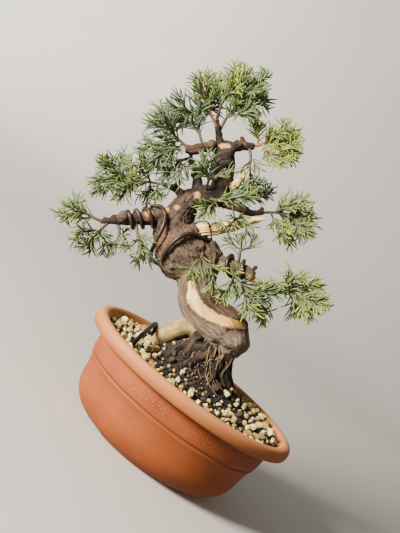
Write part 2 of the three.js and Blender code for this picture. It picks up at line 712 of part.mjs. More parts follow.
// The soil fills the pot and has grains on top
const SOIL_RINGS = [SOIL_RADIUS, SOIL_RADIUS - SOIL_FADE, 58, 40, 27, 14, 0];
const GRAIN_COUNT = 27;
const GRAIN_SIZE = [2.2, 4.4];
const GRAIN_REACH = 78;
const STUMP = { x: 3, y: 9, radius: 30 };

function makeSoilBody() {
  const inset = 1.5 * GAP;
  const wall = INNER_WALL.map(([r, z]) => [r - inset, Math.max(z, FLOOR_TOP + GAP)]);
  const top = SOIL_RINGS.map((r) => [r, SOIL_EDGE]);
  const profile = [[0, FLOOR_TOP + GAP], ...wall, ...top];
  const geometry = new THREE.LatheGeometry(profile.map(([r, z]) => new THREE.Vector2(r, z)), ROUND);
  geometry.rotateX(Math.PI / 2);
  geometry.scale(1, SQUEEZE, 1);
  const at = geometry.attributes.position;
  for (let i = 0; i < at.count; i += 1) {
    if (at.getZ(i) > SOIL_EDGE - 0.01) {
      at.setZ(i, soilHeight(at.getX(i), at.getY(i)));
    }
  }
  return solid(geometry);
}

function makeGrains() {
  const random = seeded(5);
  const grains = [];
  const places = [];
  while (grains.length < GRAIN_COUNT) {
    const angle = random() * 2 * Math.PI;
    const reach = Math.sqrt(random()) * GRAIN_REACH;
    const x = Math.cos(angle) * reach;
    const y = Math.sin(angle) * reach * SQUEEZE;
    const size = lerp(...GRAIN_SIZE, random() ** 2);
    const clear = places.every((p) => Math.hypot(p[0] - x, p[1] - y) > p[2] + size);
    const onStump = Math.hypot(x - STUMP.x, y - STUMP.y) < STUMP.radius;
    if (!clear || onStump) {
      continue;
    }
    places.push([x, y, size]);
    const grain = new THREE.OctahedronGeometry(size, 0);
    grain.scale(lerp(0.8, 1.25, random()), lerp(0.8, 1.2, random()), lerp(0.6, 0.9, random()));
    grain.rotateX(random() * Math.PI);
    grain.rotateZ(random() * Math.PI);
    grain.translate(x, y, soilHeight(x, y) + size * 0.1);
    grains.push(solid(grain));
  }
  return grains;
}

// Assembly
function piece(name, body, colour, roughness = 0.9, metalness = 0) {
  const material = new THREE.MeshStandardMaterial({ color: colour, roughness, metalness });
  const mesh = new THREE.Mesh(geometryOf(body), material);
  mesh.name = name;
  return mesh;
}

const jinRoom = JIN_RIGHT.body({ sides: 8, rings: 9, extra: GAP });
const upperJinRoom = JIN_UPPER.body({ sides: 7, rings: 6, extra: GAP });
const shariRoom = SHARI.body({ sides: 6, rings: 10, extra: GAP });
const wireRooms = [
  wireBody(WIRE_LEFT_ROUTE, WIRE_RADIUS + GAP, WIRE_STEPS.left),
  wireBody(WIRE_RIGHT_ROUTE, WIRE_RADIUS + GAP, WIRE_STEPS.right),
];
const hookRoom = wireBody(HOOK_ROUTE, HOOK_RADIUS + GAP, WIRE_STEPS.hook);

const rawWood = makeWood();
const woodRoom = makeWood(GAP);
const woodCuts = [jinRoom, upperJinRoom, shariRoom, ...wireRooms, hookRoom];
const wood = woodCuts.reduce((rest, room) => rest.subtract(room), rawWood);

const shari = rawWood.intersect(SHARI.body({ sides: 6, rings: 10 }));
const jinRight = JIN_RIGHT.body({ sides: 8, rings: 9 }).subtract(hookRoom);
const jinUpper = JIN_UPPER.body({ sides: 7, rings: 6 });

// What the needles keep clear of
const woodStems = [
  TRUNK, LEFT_LOW, RIGHT_LOW, UPPER_TRUNK, JIN_RIGHT, JIN_UPPER, ...BRANCHES, ...TOP_BRANCHES, ...ROOTS,
  ...SURFACE_ROOTS.map(surfaceRoot),
];
woodStems.forEach((stem) => addRods(stem, 'wood', 8));
addRouteRods(WIRE_LEFT_ROUTE, WIRE_RADIUS, 'wire_left');
addRouteRods(WIRE_RIGHT_ROUTE, WIRE_RADIUS, 'wire_right');
addRouteRods(HOOK_ROUTE, HOOK_RADIUS, 'hook_wire');
addRouteRods(unplanted(ANCHOR_ROUTE), ANCHOR_RADIUS, 'anchor_wire');

tree.add(piece('trunk', wood, 0x6b5140));
tree.add(piece('shari', shari, 0xe2c48e, 0.8));
tree.add(piece('jin_right', jinRight, 0xe0c69a, 0.8));
tree.add(piece('jin_upper', jinUpper, 0xe0c69a, 0.8));
const wireLeft = wireBody(WIRE_LEFT_ROUTE, WIRE_RADIUS, WIRE_STEPS.left);
const wireRight = wireBody(WIRE_RIGHT_ROUTE, WIRE_RADIUS, WIRE_STEPS.right);
tree.add(piece('wire_left', wireLeft, 0x3a2a26, 0.35, 0.6));
tree.add(piece('wire_right', wireRight, 0x3a2a26, 0.35, 0.6));
tree.add(piece('hook_wire', wireBody(HOOK_ROUTE, HOOK_RADIUS, WIRE_STEPS.hook), 0x2a2422, 0.4, 0.6));
makeSprays(woodRoom).forEach(([name, body]) => tree.add(piece(name, body, 0x4f7a3c, 0.8)));

const screens = [-DRAIN_PLACE, DRAIN_PLACE].map(makeScreen);
const screenRooms = [-DRAIN_PLACE, DRAIN_PLACE].map((place) => {
  const side = SCREEN_SIZE + 2 * GAP;
  const block = new THREE.BoxGeometry(side, side, 2 * (SCREEN_THICK + GAP));
  block.translate(place, 0, FLOOR_TOP + GAP);
  return solid(block);
});
const anchorRoom = wireBody(ANCHOR_ROUTE, ANCHOR_RADIUS + GAP, WIRE_STEPS.anchor);
const soil = [planted(woodRoom), anchorRoom, ...screenRooms].reduce(
  (rest, room) => rest.subtract(room),
  joined([makeSoilBody(), ...makeGrains()]),
);

const group = new THREE.Group();
group.add(piece('pot', makePot(), 0xb8694a, 0.9));
group.add(piece('soil', soil, 0x6a5a45, 1));
group.add(piece('drain_screen_left', screens[0], 0x1d1d1d, 0.7));
group.add(piece('drain_screen_right', screens[1], 0x1d1d1d, 0.7));
const anchor = wireBody(ANCHOR_ROUTE, ANCHOR_RADIUS, WIRE_STEPS.anchor);
group.add(piece('anchor_wire', anchor, 0x141414, 0.35, 0.5));
group.add(tree);

// The origin: the middle of the underside of the whole
group.updateMatrixWorld(true);
const box = new THREE.Box3().setFromObject(group, true);
group.position.set(-(box.min.x + box.max.x) / 2, -(box.min.y + box.max.y) / 2, -box.min.z);
group.updateMatrixWorld(true);

export default group;
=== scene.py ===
# %% [markdown]
# # A juniper bonsai in an oval training pot
# The real thing is an old juniper with a thick, twisted trunk, strips of bare bleached wood,
# coiled training wire and feathery green sprays. It leans out of an oval pot on four low feet.
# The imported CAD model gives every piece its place. Each piece is dressed here in turn: the
# camera first, then the pot, the soil, the wood, the wires, the foliage and the stage.

# %% Load the frame
import math
import random

import bpy
import numpy as np
from mathutils import Matrix, Vector, noise


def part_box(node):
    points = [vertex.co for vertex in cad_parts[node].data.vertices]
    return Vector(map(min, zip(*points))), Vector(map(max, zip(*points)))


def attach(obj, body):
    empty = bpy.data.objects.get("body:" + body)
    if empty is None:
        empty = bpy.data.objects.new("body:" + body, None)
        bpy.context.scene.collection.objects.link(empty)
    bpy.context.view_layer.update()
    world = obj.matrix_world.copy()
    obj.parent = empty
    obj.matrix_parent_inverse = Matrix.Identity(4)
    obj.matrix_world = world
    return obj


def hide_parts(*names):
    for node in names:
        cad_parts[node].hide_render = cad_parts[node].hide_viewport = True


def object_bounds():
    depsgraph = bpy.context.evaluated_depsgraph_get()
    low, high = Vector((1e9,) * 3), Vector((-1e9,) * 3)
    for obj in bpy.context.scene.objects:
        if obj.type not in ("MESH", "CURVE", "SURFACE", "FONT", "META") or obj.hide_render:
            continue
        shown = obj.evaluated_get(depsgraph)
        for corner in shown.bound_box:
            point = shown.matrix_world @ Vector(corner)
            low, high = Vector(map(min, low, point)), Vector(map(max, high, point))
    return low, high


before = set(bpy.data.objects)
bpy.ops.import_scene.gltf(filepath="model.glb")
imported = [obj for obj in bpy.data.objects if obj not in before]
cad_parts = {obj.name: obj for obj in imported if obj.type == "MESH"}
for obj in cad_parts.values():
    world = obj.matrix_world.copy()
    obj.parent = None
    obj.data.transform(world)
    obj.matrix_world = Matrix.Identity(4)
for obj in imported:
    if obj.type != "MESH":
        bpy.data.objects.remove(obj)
CAD_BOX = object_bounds()
MM = 0.001
print("nodes", len(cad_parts), "size in mm", [round(v / MM) for v in CAD_BOX[1] - CAD_BOX[0]])

# %% [markdown]
# ## Camera
# The tree is seen from the front, a little from above, with the camera rolled so that the pot
# leans over as on a turntable. The camera's right, up and ahead directions are written out,
# because a rolled view is hard to give as three angles. Its place is given from the pot's middle at
# floor height.

# %% Camera at the viewing angle
pot_low, pot_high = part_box("pot")
POT = Vector(((pot_low.x + pot_high.x) / 2, (pot_low.y + pot_high.y) / 2, 0))
VIEW_RIGHT = Vector((0.79256, 0.13078, 0.59561))
VIEW_UP = Vector((-0.60488, 0.04482, 0.79505))
VIEW_AHEAD = Vector((-0.07728, 0.99040, -0.11463))
EYE = POT + Vector((0, -682.87, 231.89)) * MM

turn = Matrix((VIEW_RIGHT, VIEW_UP, -VIEW_AHEAD)).transposed()
bpy.ops.object.select_all(action="DESELECT")
bpy.ops.object.camera_add(location=EYE, rotation=turn.to_euler())
camera = bpy.context.object
camera.name = "photo_camera"
camera.data.lens = 55.8
bpy.context.scene.camera = camera
print("camera at", [round(v, 3) for v in EYE])

# %% [markdown]
# ## Small helpers
# A material is a handful of nodes joined by links. Two small classes keep that readable: Nodes adds
# nodes to a tree and links them, and Finish is a material made with them. The piece helpers pick,
# smooth, merge and reshape meshes, and give a finished piece its material and its place on the CAD
# body, and hide the CAD nodes it stands for.

# %% Node helpers
class Nodes:
    """A node tree, and short ways to add to it. Each value below is a number, a tuple or a socket."""

    def __init__(self, tree):
        self.tree = tree

    def give(self, socket, value):
        if isinstance(value, bpy.types.NodeSocket):
            self.tree.links.new(value, socket)
        else:
            socket.default_value = value

    def add(self, kind, values=None, **settings):
        made = self.tree.nodes.new("ShaderNode" + kind)
        for key, value in settings.items():
            setattr(made, key, value)
        for key, value in (values or {}).items():
            self.give(made.inputs[key], value)
        return made

    def mix(self, factor, first, second, blend="MIX"):
        """Mixes two colours; a colour is a socket or red, green and blue."""
        values = {0: factor}
        for key, colour in ((6, first), (7, second)):
            values[key] = colour if isinstance(colour, bpy.types.NodeSocket) else (*colour, 1)
        return self.add("Mix", values, data_type="RGBA", blend_type=blend).outputs[2]

    def layers(self, colour, steps):
        """Lays colours over the first one in turn, each as far as its mask says."""
        for mask, over in steps:
            colour = self.mix(mask, colour, over)
        return colour

    def ramp(self, source, low, high, start=0.0, end=1.0):
        """Turns low..high into start..end and stays inside them."""
        return self.add("MapRange", {0: source, 1: low, 2: high, 3: start, 4: end}).outputs[0]

    def times(self, first, second, plus=0.0):
        return self.add("Math", {0: first, 1: second, 2: plus}, operation="MULTIPLY_ADD").outputs[0]

    def band(self, source, rise, fall, most=1.0):
        """0 outside a band and most inside it, with soft edges given as from and to."""
        return self.times(self.ramp(source, *rise), self.ramp(source, *fall, 0.0, most))

    def effect(self, group, vector, **values):
        named = {key.replace("_", " "): value for key, value in values.items()}
        return self.add("Group", {"Vector": vector, **named}, node_tree=group.tree).outputs

    def attribute(self, name):
        return self.add("Attribute", attribute_name=name).outputs

    def channels(self, name):
        """The three channels and the alpha of a colour stored on the mesh."""
        stored = self.attribute(name)
        return [*self.add("SeparateColor", {0: stored["Color"]}).outputs, stored["Alpha"]]


# %% Materials
class Finish(Nodes):
    """A material: its nodes, with its shader and its place on the object."""

    def __init__(self, name, roughness):
        self.material = bpy.data.materials.new(name)
        self.material.use_nodes = True
        super().__init__(self.material.node_tree)
        self.shader = self.tree.nodes["Principled BSDF"]
        self.place = self.add("TexCoord").outputs["Object"]
        self.set("Roughness", roughness)

    def set(self, label, value):
        self.give(self.shader.inputs[label], value)

    def speckled(self, scale, fine_scale):
        return self.effect(speckle, self.place, Scale=scale, Fine_Scale=fine_scale)

    def bump(self, height, strength, distance):
        made = self.add("Bump", {"Strength": strength, "Distance": distance, "Height": height})
        self.set("Normal", made.outputs["Normal"])

# %% Piece helpers
def pick(piece):
    bpy.ops.object.select_all(action="DESELECT")
    piece.select_set(True)
    bpy.context.view_layer.objects.active = piece


def smooth(piece, degrees=None):
    """Shades a piece smooth, with crisp edges over the angle where one is given."""
    pick(piece)
    if degrees is None:
        bpy.ops.object.shade_smooth()
    else:
        bpy.ops.object.shade_smooth_by_angle(angle=math.radians(degrees))


def merge(first, *others):
    """Joins the other pieces into the first."""
    pick(first)
    for other in others:
        other.select_set(True)
    bpy.ops.object.join()


def apply_modifiers(piece):
    pick(piece)
    for modifier in list(piece.modifiers):
        bpy.ops.object.modifier_apply(modifier=modifier.name)


def spin_round(piece, steps):
    """Spins an outline once round the upright axis and welds its ends."""
    pick(piece)
    bpy.ops.object.mode_set(mode="EDIT")
    bpy.ops.mesh.select_all(action="SELECT")
    bpy.ops.mesh.spin(steps=steps, angle=2 * math.pi, center=(0, 0, 0), axis=(0, 0, 1))
    bpy.ops.mesh.select_all(action="SELECT")
    bpy.ops.mesh.remove_doubles(threshold=0.02 * MM)
    bpy.ops.mesh.normals_make_consistent(inside=False)
    bpy.ops.object.mode_set(mode="OBJECT")


def finish_piece(piece, name, finish, nodes=()):
    piece.name = name
    piece.data.name = name
    piece.data.materials.clear()
    piece.data.materials.append(finish.material)
    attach(piece, "root")
    if nodes:
        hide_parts(*nodes)
    print(name, len(piece.data.polygons), "faces")


# %% Mesh data helpers
def mesh_piece(name, points, faces, edges=()):
    mesh = bpy.data.meshes.new(name)
    mesh.from_pydata([tuple(p) for p in points], list(edges), [tuple(f) for f in faces])
    mesh.update()
    piece = bpy.data.objects.new(name, mesh)
    bpy.context.scene.collection.objects.link(piece)
    return piece


def read_points(piece, field="co"):
    flat = np.zeros(len(piece.data.vertices) * 3)
    piece.data.vertices.foreach_get(field, flat)
    return flat.reshape(-1, 3)


def normals_of(piece):
    return read_points(piece, "normal")


def write_points(piece, points):
    piece.data.vertices.foreach_set("co", np.ascontiguousarray(points, dtype=np.float32).ravel())
    piece.data.update()


def set_attribute(piece, name, values):
    """Stores 3 or 4 numbers for each vertex: an array of rows, or a list of columns."""
    rows = np.stack(values, axis=1) if isinstance(values, list) else values
    kind, field = ("FLOAT_COLOR", "color") if rows.shape[1] == 4 else ("FLOAT_VECTOR", "vector")
    layer = piece.data.attributes.new(name, kind, "POINT")
    layer.data.foreach_set(field, np.ascontiguousarray(rows, dtype=np.float32).ravel())


def paint(piece, colour):
    set_attribute(piece, "tint", np.tile(colour, (len(piece.data.vertices), 1)))


def moved(points, matrix):
    matrix = np.array(matrix)
    return np.asarray(points, float) @ matrix[:3, :3].T + matrix[:3, 3]

# %% [markdown]
# ## Shared effects
# Several finishes use the same two effects. Speckle gives soft blotches with fine grain in them.
# Fibres gives long streaks that run with the wood. Each is built once as a node group and placed in
# the materials with its own values, so a change to the effect reaches all of them.

# %% Speckle group
def make_group(name, inputs, outputs):
    """An empty node group that takes a vector and numbers: its nodes, and its sockets by name."""
    group = bpy.data.node_groups.new(name, "ShaderNodeTree")
    group.interface.new_socket("Vector", in_out="INPUT", socket_type="NodeSocketVector")
    for label, value in inputs.items():
        group.interface.new_socket(label, in_out="INPUT", socket_type="NodeSocketFloat").default_value = value
    for label in outputs:
        group.interface.new_socket(label, in_out="OUTPUT", socket_type="NodeSocketFloat")
    return Nodes(group), group.nodes.new("NodeGroupInput").outputs, group.nodes.new("NodeGroupOutput").inputs


speckle, given, result = make_group("speckle", {"Scale": 60.0, "Fine Scale": 900.0}, ["Blotch", "Grain"])
for scale, detail, rough, low, high, label in (
    ("Scale", 4.0, 0.6, 0.35, 0.65, "Blotch"), ("Fine Scale", 3.0, 0.7, 0.3, 0.7, "Grain"),
):
    texture = speckle.add("TexNoise", {"Vector": given["Vector"], "Scale": given[scale],
                                       "Detail": detail, "Roughness": rough})
    speckle.give(result[label], speckle.ramp(texture.outputs["Fac"], low, high))

# %% Fibres group
fibres, given, result = make_group("fibres", {"Scale": 1.0, "Stretch": 0.12}, ["Streak", "Crack"])
squeeze = fibres.add("CombineXYZ", {0: 1.0, 1: 1.0, 2: given["Stretch"]}).outputs[0]
along = fibres.add("VectorMath", {0: given["Vector"], 1: squeeze}, operation="MULTIPLY").outputs[0]
streaks = fibres.add("TexNoise", {"Vector": along, "Scale": given["Scale"],
                                  "Detail": 5.0, "Roughness": 0.62, "Distortion": 0.4})
splits = fibres.add("TexNoise", {"Vector": along, "Scale": given["Scale"], "Detail": 2.0, "Roughness": 0.5},
                    noise_type="RIDGED_MULTIFRACTAL")
fibres.give(result["Streak"], fibres.ramp(streaks.outputs["Fac"], 0.3, 0.7))
fibres.give(result["Crack"], fibres.ramp(splits.outputs["Fac"], 0.55, 1.0))
print("effects", [group.name for group in bpy.data.node_groups])

# %% [markdown]
# ## Pot
# The pot is a moulded oval: a bulging bowl on four low feet, a step, a band with a stamped pattern,
# and a thick rolled rim. A lathe gives such a shape: half of its outline is drawn once, spun round the
# middle and squeezed to an oval. The outline's soft stretches are drawn as smooth curves through a few
# points, and its corners stay crisp.

# %% A smooth line through points
def catmull(guides, place):
    """The point on a centripetal Catmull-Rom curve through all but the first and last guide."""
    i = min(int(place), len(guides) - 4)
    w = place - i
    x0, x1, x2, x3 = guides[i:i + 4]
    d0, d1, d2 = (np.linalg.norm(b - a) ** 0.5 for a, b in ((x0, x1), (x1, x2), (x2, x3)))
    a = ((x1 - x0) / d0 - (x2 - x0) / (d0 + d1) + (x2 - x1) / d1) * d1
    b = ((x2 - x1) / d1 - (x3 - x1) / (d1 + d2) + (x3 - x2) / d2) * d1
    return x1 + a * w + (3 * (x2 - x1) - 2 * a - b) * w ** 2 + (2 * (x1 - x2) + a + b) * w ** 3


def with_ends(points):
    points = np.array(points, float)
    return np.vstack([2 * points[0] - points[1], points, 2 * points[-1] - points[-2]])


def smooth_line(points, steps):
    guides = with_ends(points)
    count = (len(points) - 1) * steps
    return [catmull(guides, i / steps) for i in range(count + 1)]


# %% The pot's outline
UNDERSIDE = [(0, 4), (20, 4), (40, 4), (50.5, 4)]
FOOT = [(51.5, 3.2), (52.2, 0.8), (53.2, 0), (59, 0), (60.4, 0.7)]
BOWL = [(61.2, 1.4), (64, 2.9), (70.4, 6.4), (76.2, 13), (79.6, 21), (80.8, 30), (82.2, 38.5), (84, 43.4)]
STEP = [(84.5, 44.3), (84.3, 45), (83.9, 45.6), (84.2, 46.4), (85.1, 47.3)]
BAND = [(85.5, 48.4), (86.1, 56), (86.6, 63.6), (87.2, 65.3)]
RIM = [(88.6, 66.1), (93, 66.4), (97, 66.6), (99, 67.4), (99.7, 69), (99.9, 71.2), (99.7, 73.6),
       (98.7, 75.9), (96.9, 77.5), (94.6, 78), (92.2, 77.7), (90.4, 76.4), (89.2, 74.5)]
INSIDE = [(87.2, 71.8), (82.4, 66.2), (81.1, 63), (79, 50), (76, 34), (72, 20), (66, 13), (56, 10)]

outline = [*UNDERSIDE, *smooth_line(FOOT, 2), *smooth_line(BOWL, 4), *smooth_line(STEP, 2),
           *smooth_line(BAND, 3), *smooth_line(RIM, 3), *smooth_line(INSIDE, 2), (30, 10), (0, 10)]


def outline_piece(name, outline):
    """An open line of edges through points given as radius and height in mm."""
    points = [(radius * MM, 0, height * MM) for radius, height in outline]
    return mesh_piece(name, points, [], [(i, i + 1) for i in range(len(outline) - 1)])


pot = outline_piece("pot_outline", outline)
print("outline points", len(outline))

# %% Spin it and squeeze it to an oval
POT_STEPS = 160
OVAL = 0.8
spin_round(pot, POT_STEPS)
print("spun points", len(pot.data.vertices))

# %% Cut the gaps between the feet
GAP_HALF = math.radians(9.5)
GAP_HEIGHT = 3.2
FOOT_INNER = 45

points = read_points(pot) / MM
angles = np.arctan2(points[:, 1], points[:, 0])
from_gap = np.abs((angles % (math.pi / 2)) - math.pi / 4)
share = np.clip((GAP_HALF * 1.35 - from_gap) / (GAP_HALF * 0.5), 0, 1)
lifted = np.maximum(points[:, 2], GAP_HEIGHT * share * share * (3 - 2 * share))
low_ring = (points[:, 2] < GAP_HEIGHT) & (np.hypot(points[:, 0], points[:, 1]) > FOOT_INNER)
points[:, 2] = np.where(low_ring, lifted, points[:, 2])
points[:, 1] *= OVAL
write_points(pot, points * MM + np.array(POT))

# %% Drill the drain holes
DRAIN_RADIUS = 7
for place in (-34, 34):
    bpy.ops.object.select_all(action="DESELECT")
    bpy.ops.mesh.primitive_cylinder_add(vertices=48, radius=DRAIN_RADIUS * MM, depth=40 * MM,
                                        location=POT + Vector((place * MM, 0, 0)))
    drill = bpy.context.object
    cut = pot.modifiers.new("drain", "BOOLEAN")
    cut.operation = "DIFFERENCE"
    cut.object = drill
    apply_modifiers(pot)
    bpy.data.objects.remove(drill)
smooth(pot, 38)
print("pot size in mm", [round(v / MM, 1) for v in pot.dimensions])

# %% [markdown]
# The pot is orange-brown, matte and a little dusty. Its colour wavers in soft blotches, a pale dry
# film lies on the rim and the feet, and the groove under the band is painted dark as painted shade.
# The band has a shallow stamped pattern of curls, worn away in places. It is a bump, being far too
# shallow to model.

# %% Terracotta finish
terracotta = Finish("terracotta", 0.7)
marks = terracotta.speckled(26.0, 1300.0)
height = terracotta.add("SeparateXYZ", {0: terracotta.place}).outputs["Z"]
# Each film begins and ends at a height in metres
sanded = terracotta.ramp(marks["Grain"], 0.70, 1.0, 0, 0.5)
rim_film = terracotta.ramp(height, 0.0655, 0.0770, 0.0, 0.68)
edge_film = terracotta.band(height, (0.0658, 0.0664), (0.0685, 0.0670), 0.4)
foot_film = terracotta.ramp(height, 0.0035, 0.0, 0.0, 0.5)
# Painted shade: the groove under the band is darkened where shade falls in it
painted_groove_shade = terracotta.band(height, (0.0440, 0.0455), (0.0485, 0.0466), 0.6)
body = terracotta.mix(marks["Blotch"], (0.250, 0.046, 0.005), (0.340, 0.076, 0.012))
terracotta.set("Base Color", terracotta.layers(body, [
    (sanded, (0.46, 0.165, 0.045)), (rim_film, (0.63, 0.265, 0.085)), (edge_film, (0.55, 0.25, 0.10)),
    (foot_film, (0.50, 0.22, 0.09)), (painted_groove_shade, (0.17, 0.033, 0.008)),
]))
terracotta.set("Roughness", terracotta.ramp(marks["Blotch"], 0, 1, 0.6, 0.78))

# %% The worn pattern on the band
band = terracotta.band(height, (0.0490, 0.0520), (0.0640, 0.0600))
patches = terracotta.add("TexNoise", {"Vector": terracotta.place, "Scale": 34.0, "Detail": 1.0})
worn = terracotta.times(terracotta.ramp(patches.outputs["Fac"], 0.38, 0.62), band)
curls = terracotta.add("TexWave", {"Vector": terracotta.place, "Scale": 210.0, "Distortion": 11.0,
                                   "Detail": 1.5, "Detail Scale": 1.4}, bands_direction="DIAGONAL")
stamped = terracotta.times(curls.outputs["Fac"], worn)
terracotta.bump(terracotta.times(marks["Grain"], 0.10, stamped), 0.6, 0.0005)
finish_piece(pot, "pot_moulded", terracotta, ["pot"])

# %% [markdown]
# ## Wood lines
# The tree was drawn upright in a frame of its own and planted leaning. The same stems are used here:
# a stem is a smooth curve through a few points, each with a radius in millimetres. The helper also
# gives a point at an angle round a stem, which the wires need. Ten very short stems are knobs, the
# scars and healed stubs that thicken old branches.

# %% Planting the tree
LEAN_LEFT = math.radians(37.6)
LEAN_BACK = math.radians(12.7)
TREE_FOOT = Vector((0, 8, 91))
PLANTED = (Matrix.Translation(POT + TREE_FOOT * MM) @ Matrix.Rotation(-LEAN_BACK, 4, "X")
           @ Matrix.Rotation(-LEAN_LEFT, 4, "Y") @ Matrix.Scale(MM, 4))


def plant(points):
    """Takes tree millimetres to scene metres; unplant takes them back."""
    return moved(points, PLANTED)


def unplant(points):
    return moved(points, PLANTED.inverted())


# %% Stems
class Stem:
    """A smooth curve through points with a radius each; t runs from 0 at its foot to 1 at its end."""

    def __init__(self, points):
        self.guides = with_ends([p[:3] for p in points])
        self.radii = [p[3] for p in points]
        self.last = len(points) - 1

    def point(self, t):
        return catmull(self.guides, min(max(t, 0), 1) * self.last)

    def radius(self, t):
        place = min(max(t, 0), 1) * self.last
        i = min(int(place), self.last - 1)
        w = place - i
        return self.radii[i] + (self.radii[i + 1] - self.radii[i]) * w * w * (3 - 2 * w)

    def frame(self, t):
        ahead = self.point(min(t + 1e-4, 1)) - self.point(max(t - 1e-4, 0))
        ahead /= np.linalg.norm(ahead)
        front = np.array([0, -1, 0]) + ahead * ahead[1]
        front /= np.linalg.norm(front)
        return self.point(t), ahead, front, np.cross(ahead, front)

    def around(self, t, angle, lift=0):
        centre, _, front, side = self.frame(t)
        reach = self.radius(t) + lift
        return centre + front * math.cos(angle) * reach + side * math.sin(angle) * reach

    def length(self):
        line = np.array([self.point(i / 40) for i in range(41)])
        return np.linalg.norm(np.diff(line, axis=0), axis=1).sum()


def stem_of(points, radii):
    return Stem([(*point, radius) for point, radius in zip(points, radii)])


# %% The stems
TRUNK = Stem([
    [14, 1, 5, 5], [16.5, 1, 9.5, 11.5], [19, 0, 17.5, 16.8], [14, 0, 28, 20], [1, 0, 39, 18.5],
    [-7, 0, 51, 18], [-9, 0, 63, 16], [-10, 0, 76, 18.5], [-19, 0, 91, 25], [-24, 0, 103, 23.5],
    [-29, 0, 113, 18], [-27, 0, 122, 15], [-21, 0, 131, 12], [-14, 0, 142, 10.5], [-11, 0, 147, 7],
])
LEFT_LOW = Stem([
    [-24, 0, 119, 11], [-39, -4, 125, 7.5], [-51, -8, 123, 6], [-64, -10, 121, 5.2],
    [-76, -12, 120, 4.4], [-83, -14, 119, 2.9], [-91, -15, 118.5, 2.1],
])
KNOBS = [Stem(points) for points in (
    [[-69, -13, 121.5, 4.2], [-71.5, -15, 122.5, 5.0], [-74, -14, 121.5, 4.0]],
    [[-78, -13, 119.5, 2.8], [-79.5, -14.5, 120.5, 4.0], [-81.5, -14.5, 119.8, 2.8]],
    [[-86, -14.5, 118.8, 1.8], [-87, -15.5, 119.4, 3.0], [-88.5, -15.3, 118.9, 1.8]],
    [[-27, 8, 151.5, 2.6], [-29, 8.5, 153.5, 4.0], [-31, 9.5, 154.5, 2.6]],
    [[-9.5, -1, 160, 3.4], [-10.5, -2, 162.5, 4.4], [-11, -2, 165, 3.2]],
    [[4, -3, 186, 4.6], [3, -5, 188, 5.4], [1.5, -4, 189, 4.2]],
    [[26, 0, 187, 3.6], [27, -1.5, 189, 4.8], [28.5, 0, 190, 3.6]],
    [[13, -6, 158, 5.0], [14.5, -6, 159.5, 5.8], [17, -5, 160, 5.0]],
    [[12, -5, 170, 5.0], [14.5, -6, 171, 5.6], [18, -4, 171.5, 5.0]],
    [[16, -5, 180, 4.6], [18, -5.5, 180.5, 5.0], [21, -3, 180, 4.2]],
)]
RIGHT_LOW = Stem([
    [-2, -2, 87, 10], [12, -7, 84, 6.8], [23, -14, 79, 5.8], [32, -17, 75, 5.5], [38, -18, 70.5, 5.2],
])
UPPER_TRUNK = Stem([
    [11, 0, 139, 9.5], [13, 0, 152, 10], [14, 0, 166, 9.5], [15.5, 0, 182, 9], [15.5, 0, 203, 8.5],
])
BRANCHES = [Stem(points) for points in (
    [[-6, 0, 72, 6], [-3, -2, 79, 13], [-1.5, -3, 88, 15.5], [-2, -3, 96, 13], [-5, -2, 104, 6]],
    [[-17, 0, 139, 7], [-8, 0, 143, 10], [4, 0, 142.5, 9.5], [13, 0, 144, 9], [19, 0, 147, 5]],
    [[-16, 1, 137, 6.5], [-22, 6, 146, 4.2], [-28, 10, 152, 3.1], [-38, 14, 157.5, 2.4]],
    [[-12, 0, 141, 7], [-9, 0, 152, 4.8], [-9, 0, 162, 3.6], [-12, -1, 170, 3.2], [-16, -2, 178, 3.0]],
    [[3, 0, 142, 7], [16, 0, 137, 4.6], [28, 0, 133, 4], [35, 0, 130.5, 3.7]],
    [[26, 0, 133.5, 3.4], [36, 0, 129, 3.1], [42, 0, 128.5, 2.7], [49, 0, 129, 2.3]],
    [[46, 0, 129, 2.4], [48, -1, 134, 2.2]],
    [[33, -16, 72, 3], [38, -17, 68.6, 2.8], [43, -17, 66.5, 2.3]],
)]
TOP_BRANCHES = [Stem(points) for points in (
    [[15, 0, 182, 6.5], [5, -2, 187, 4.2], [0, -3, 186.5, 5.0], [-4, -4, 186, 3.8], [-9, -4.5, 184.5, 5.2],
     [-14, -5, 183.5, 4.2], [-19, -6, 184.5, 4.2]],
    [[15, 0, 182, 6], [22, 1.5, 187, 3.6], [27, 2, 188, 4.4], [31, 2.5, 188.5, 3.3], [35, 3, 189, 4.2],
     [42, 3, 189, 3.2]],
    [[33, 3, 189, 3], [30, 2, 198, 2]],
    [[13, 6, 183, 5], [11.5, 7.5, 195, 3.8], [8, 2, 213, 2.6]],
)]
ROOTS = [Stem(points) for points in (
    [[-16, 7, -26, 12], [-8, 5, -14, 12], [0, 5, -3, 13], [9, 4, 8, 15], [16, 2, 18, 13]],
    [[-3, 1, 29, 10], [-19, -1, 29, 8.5], [-30, 2, 26, 8.5], [-40, 7, 19, 8.5], [-47, 11, 8, 7.5],
     [-53, 13, -4, 5.5]],
    [[-8, -5, 22, 6], [-15, -10, 11, 4.6], [-21, -10, 1, 4], [-28, -9, -11, 3.2]],
)]
JIN_RIGHT = Stem([
    [-16, -3, 110, 5], [-6, -9, 111.5, 5.6], [4, -13, 112, 5.5], [20, -16, 114, 4.6],
    [36, -16, 118, 3.2], [49, -18, 120, 1.2],
])
JIN_UPPER = Stem([[12, -1, 148, 4.4], [23, -5, 151, 3.8], [30, -8, 159, 2.6], [36, -9, 166, 0.8]])
SHARI = Stem([
    [-14, -14.5, 70, 1.5], [-14, -15, 63, 4.2], [-13, -16, 54, 5.8], [-6, -17.5, 44, 5.5],
    [4, -19, 38, 5], [14, -19.5, 33.5, 4.4], [25, -17, 32, 3.8], [32, -10.5, 31.5, 3.6],
    [36, -5, 31, 3.2],
])

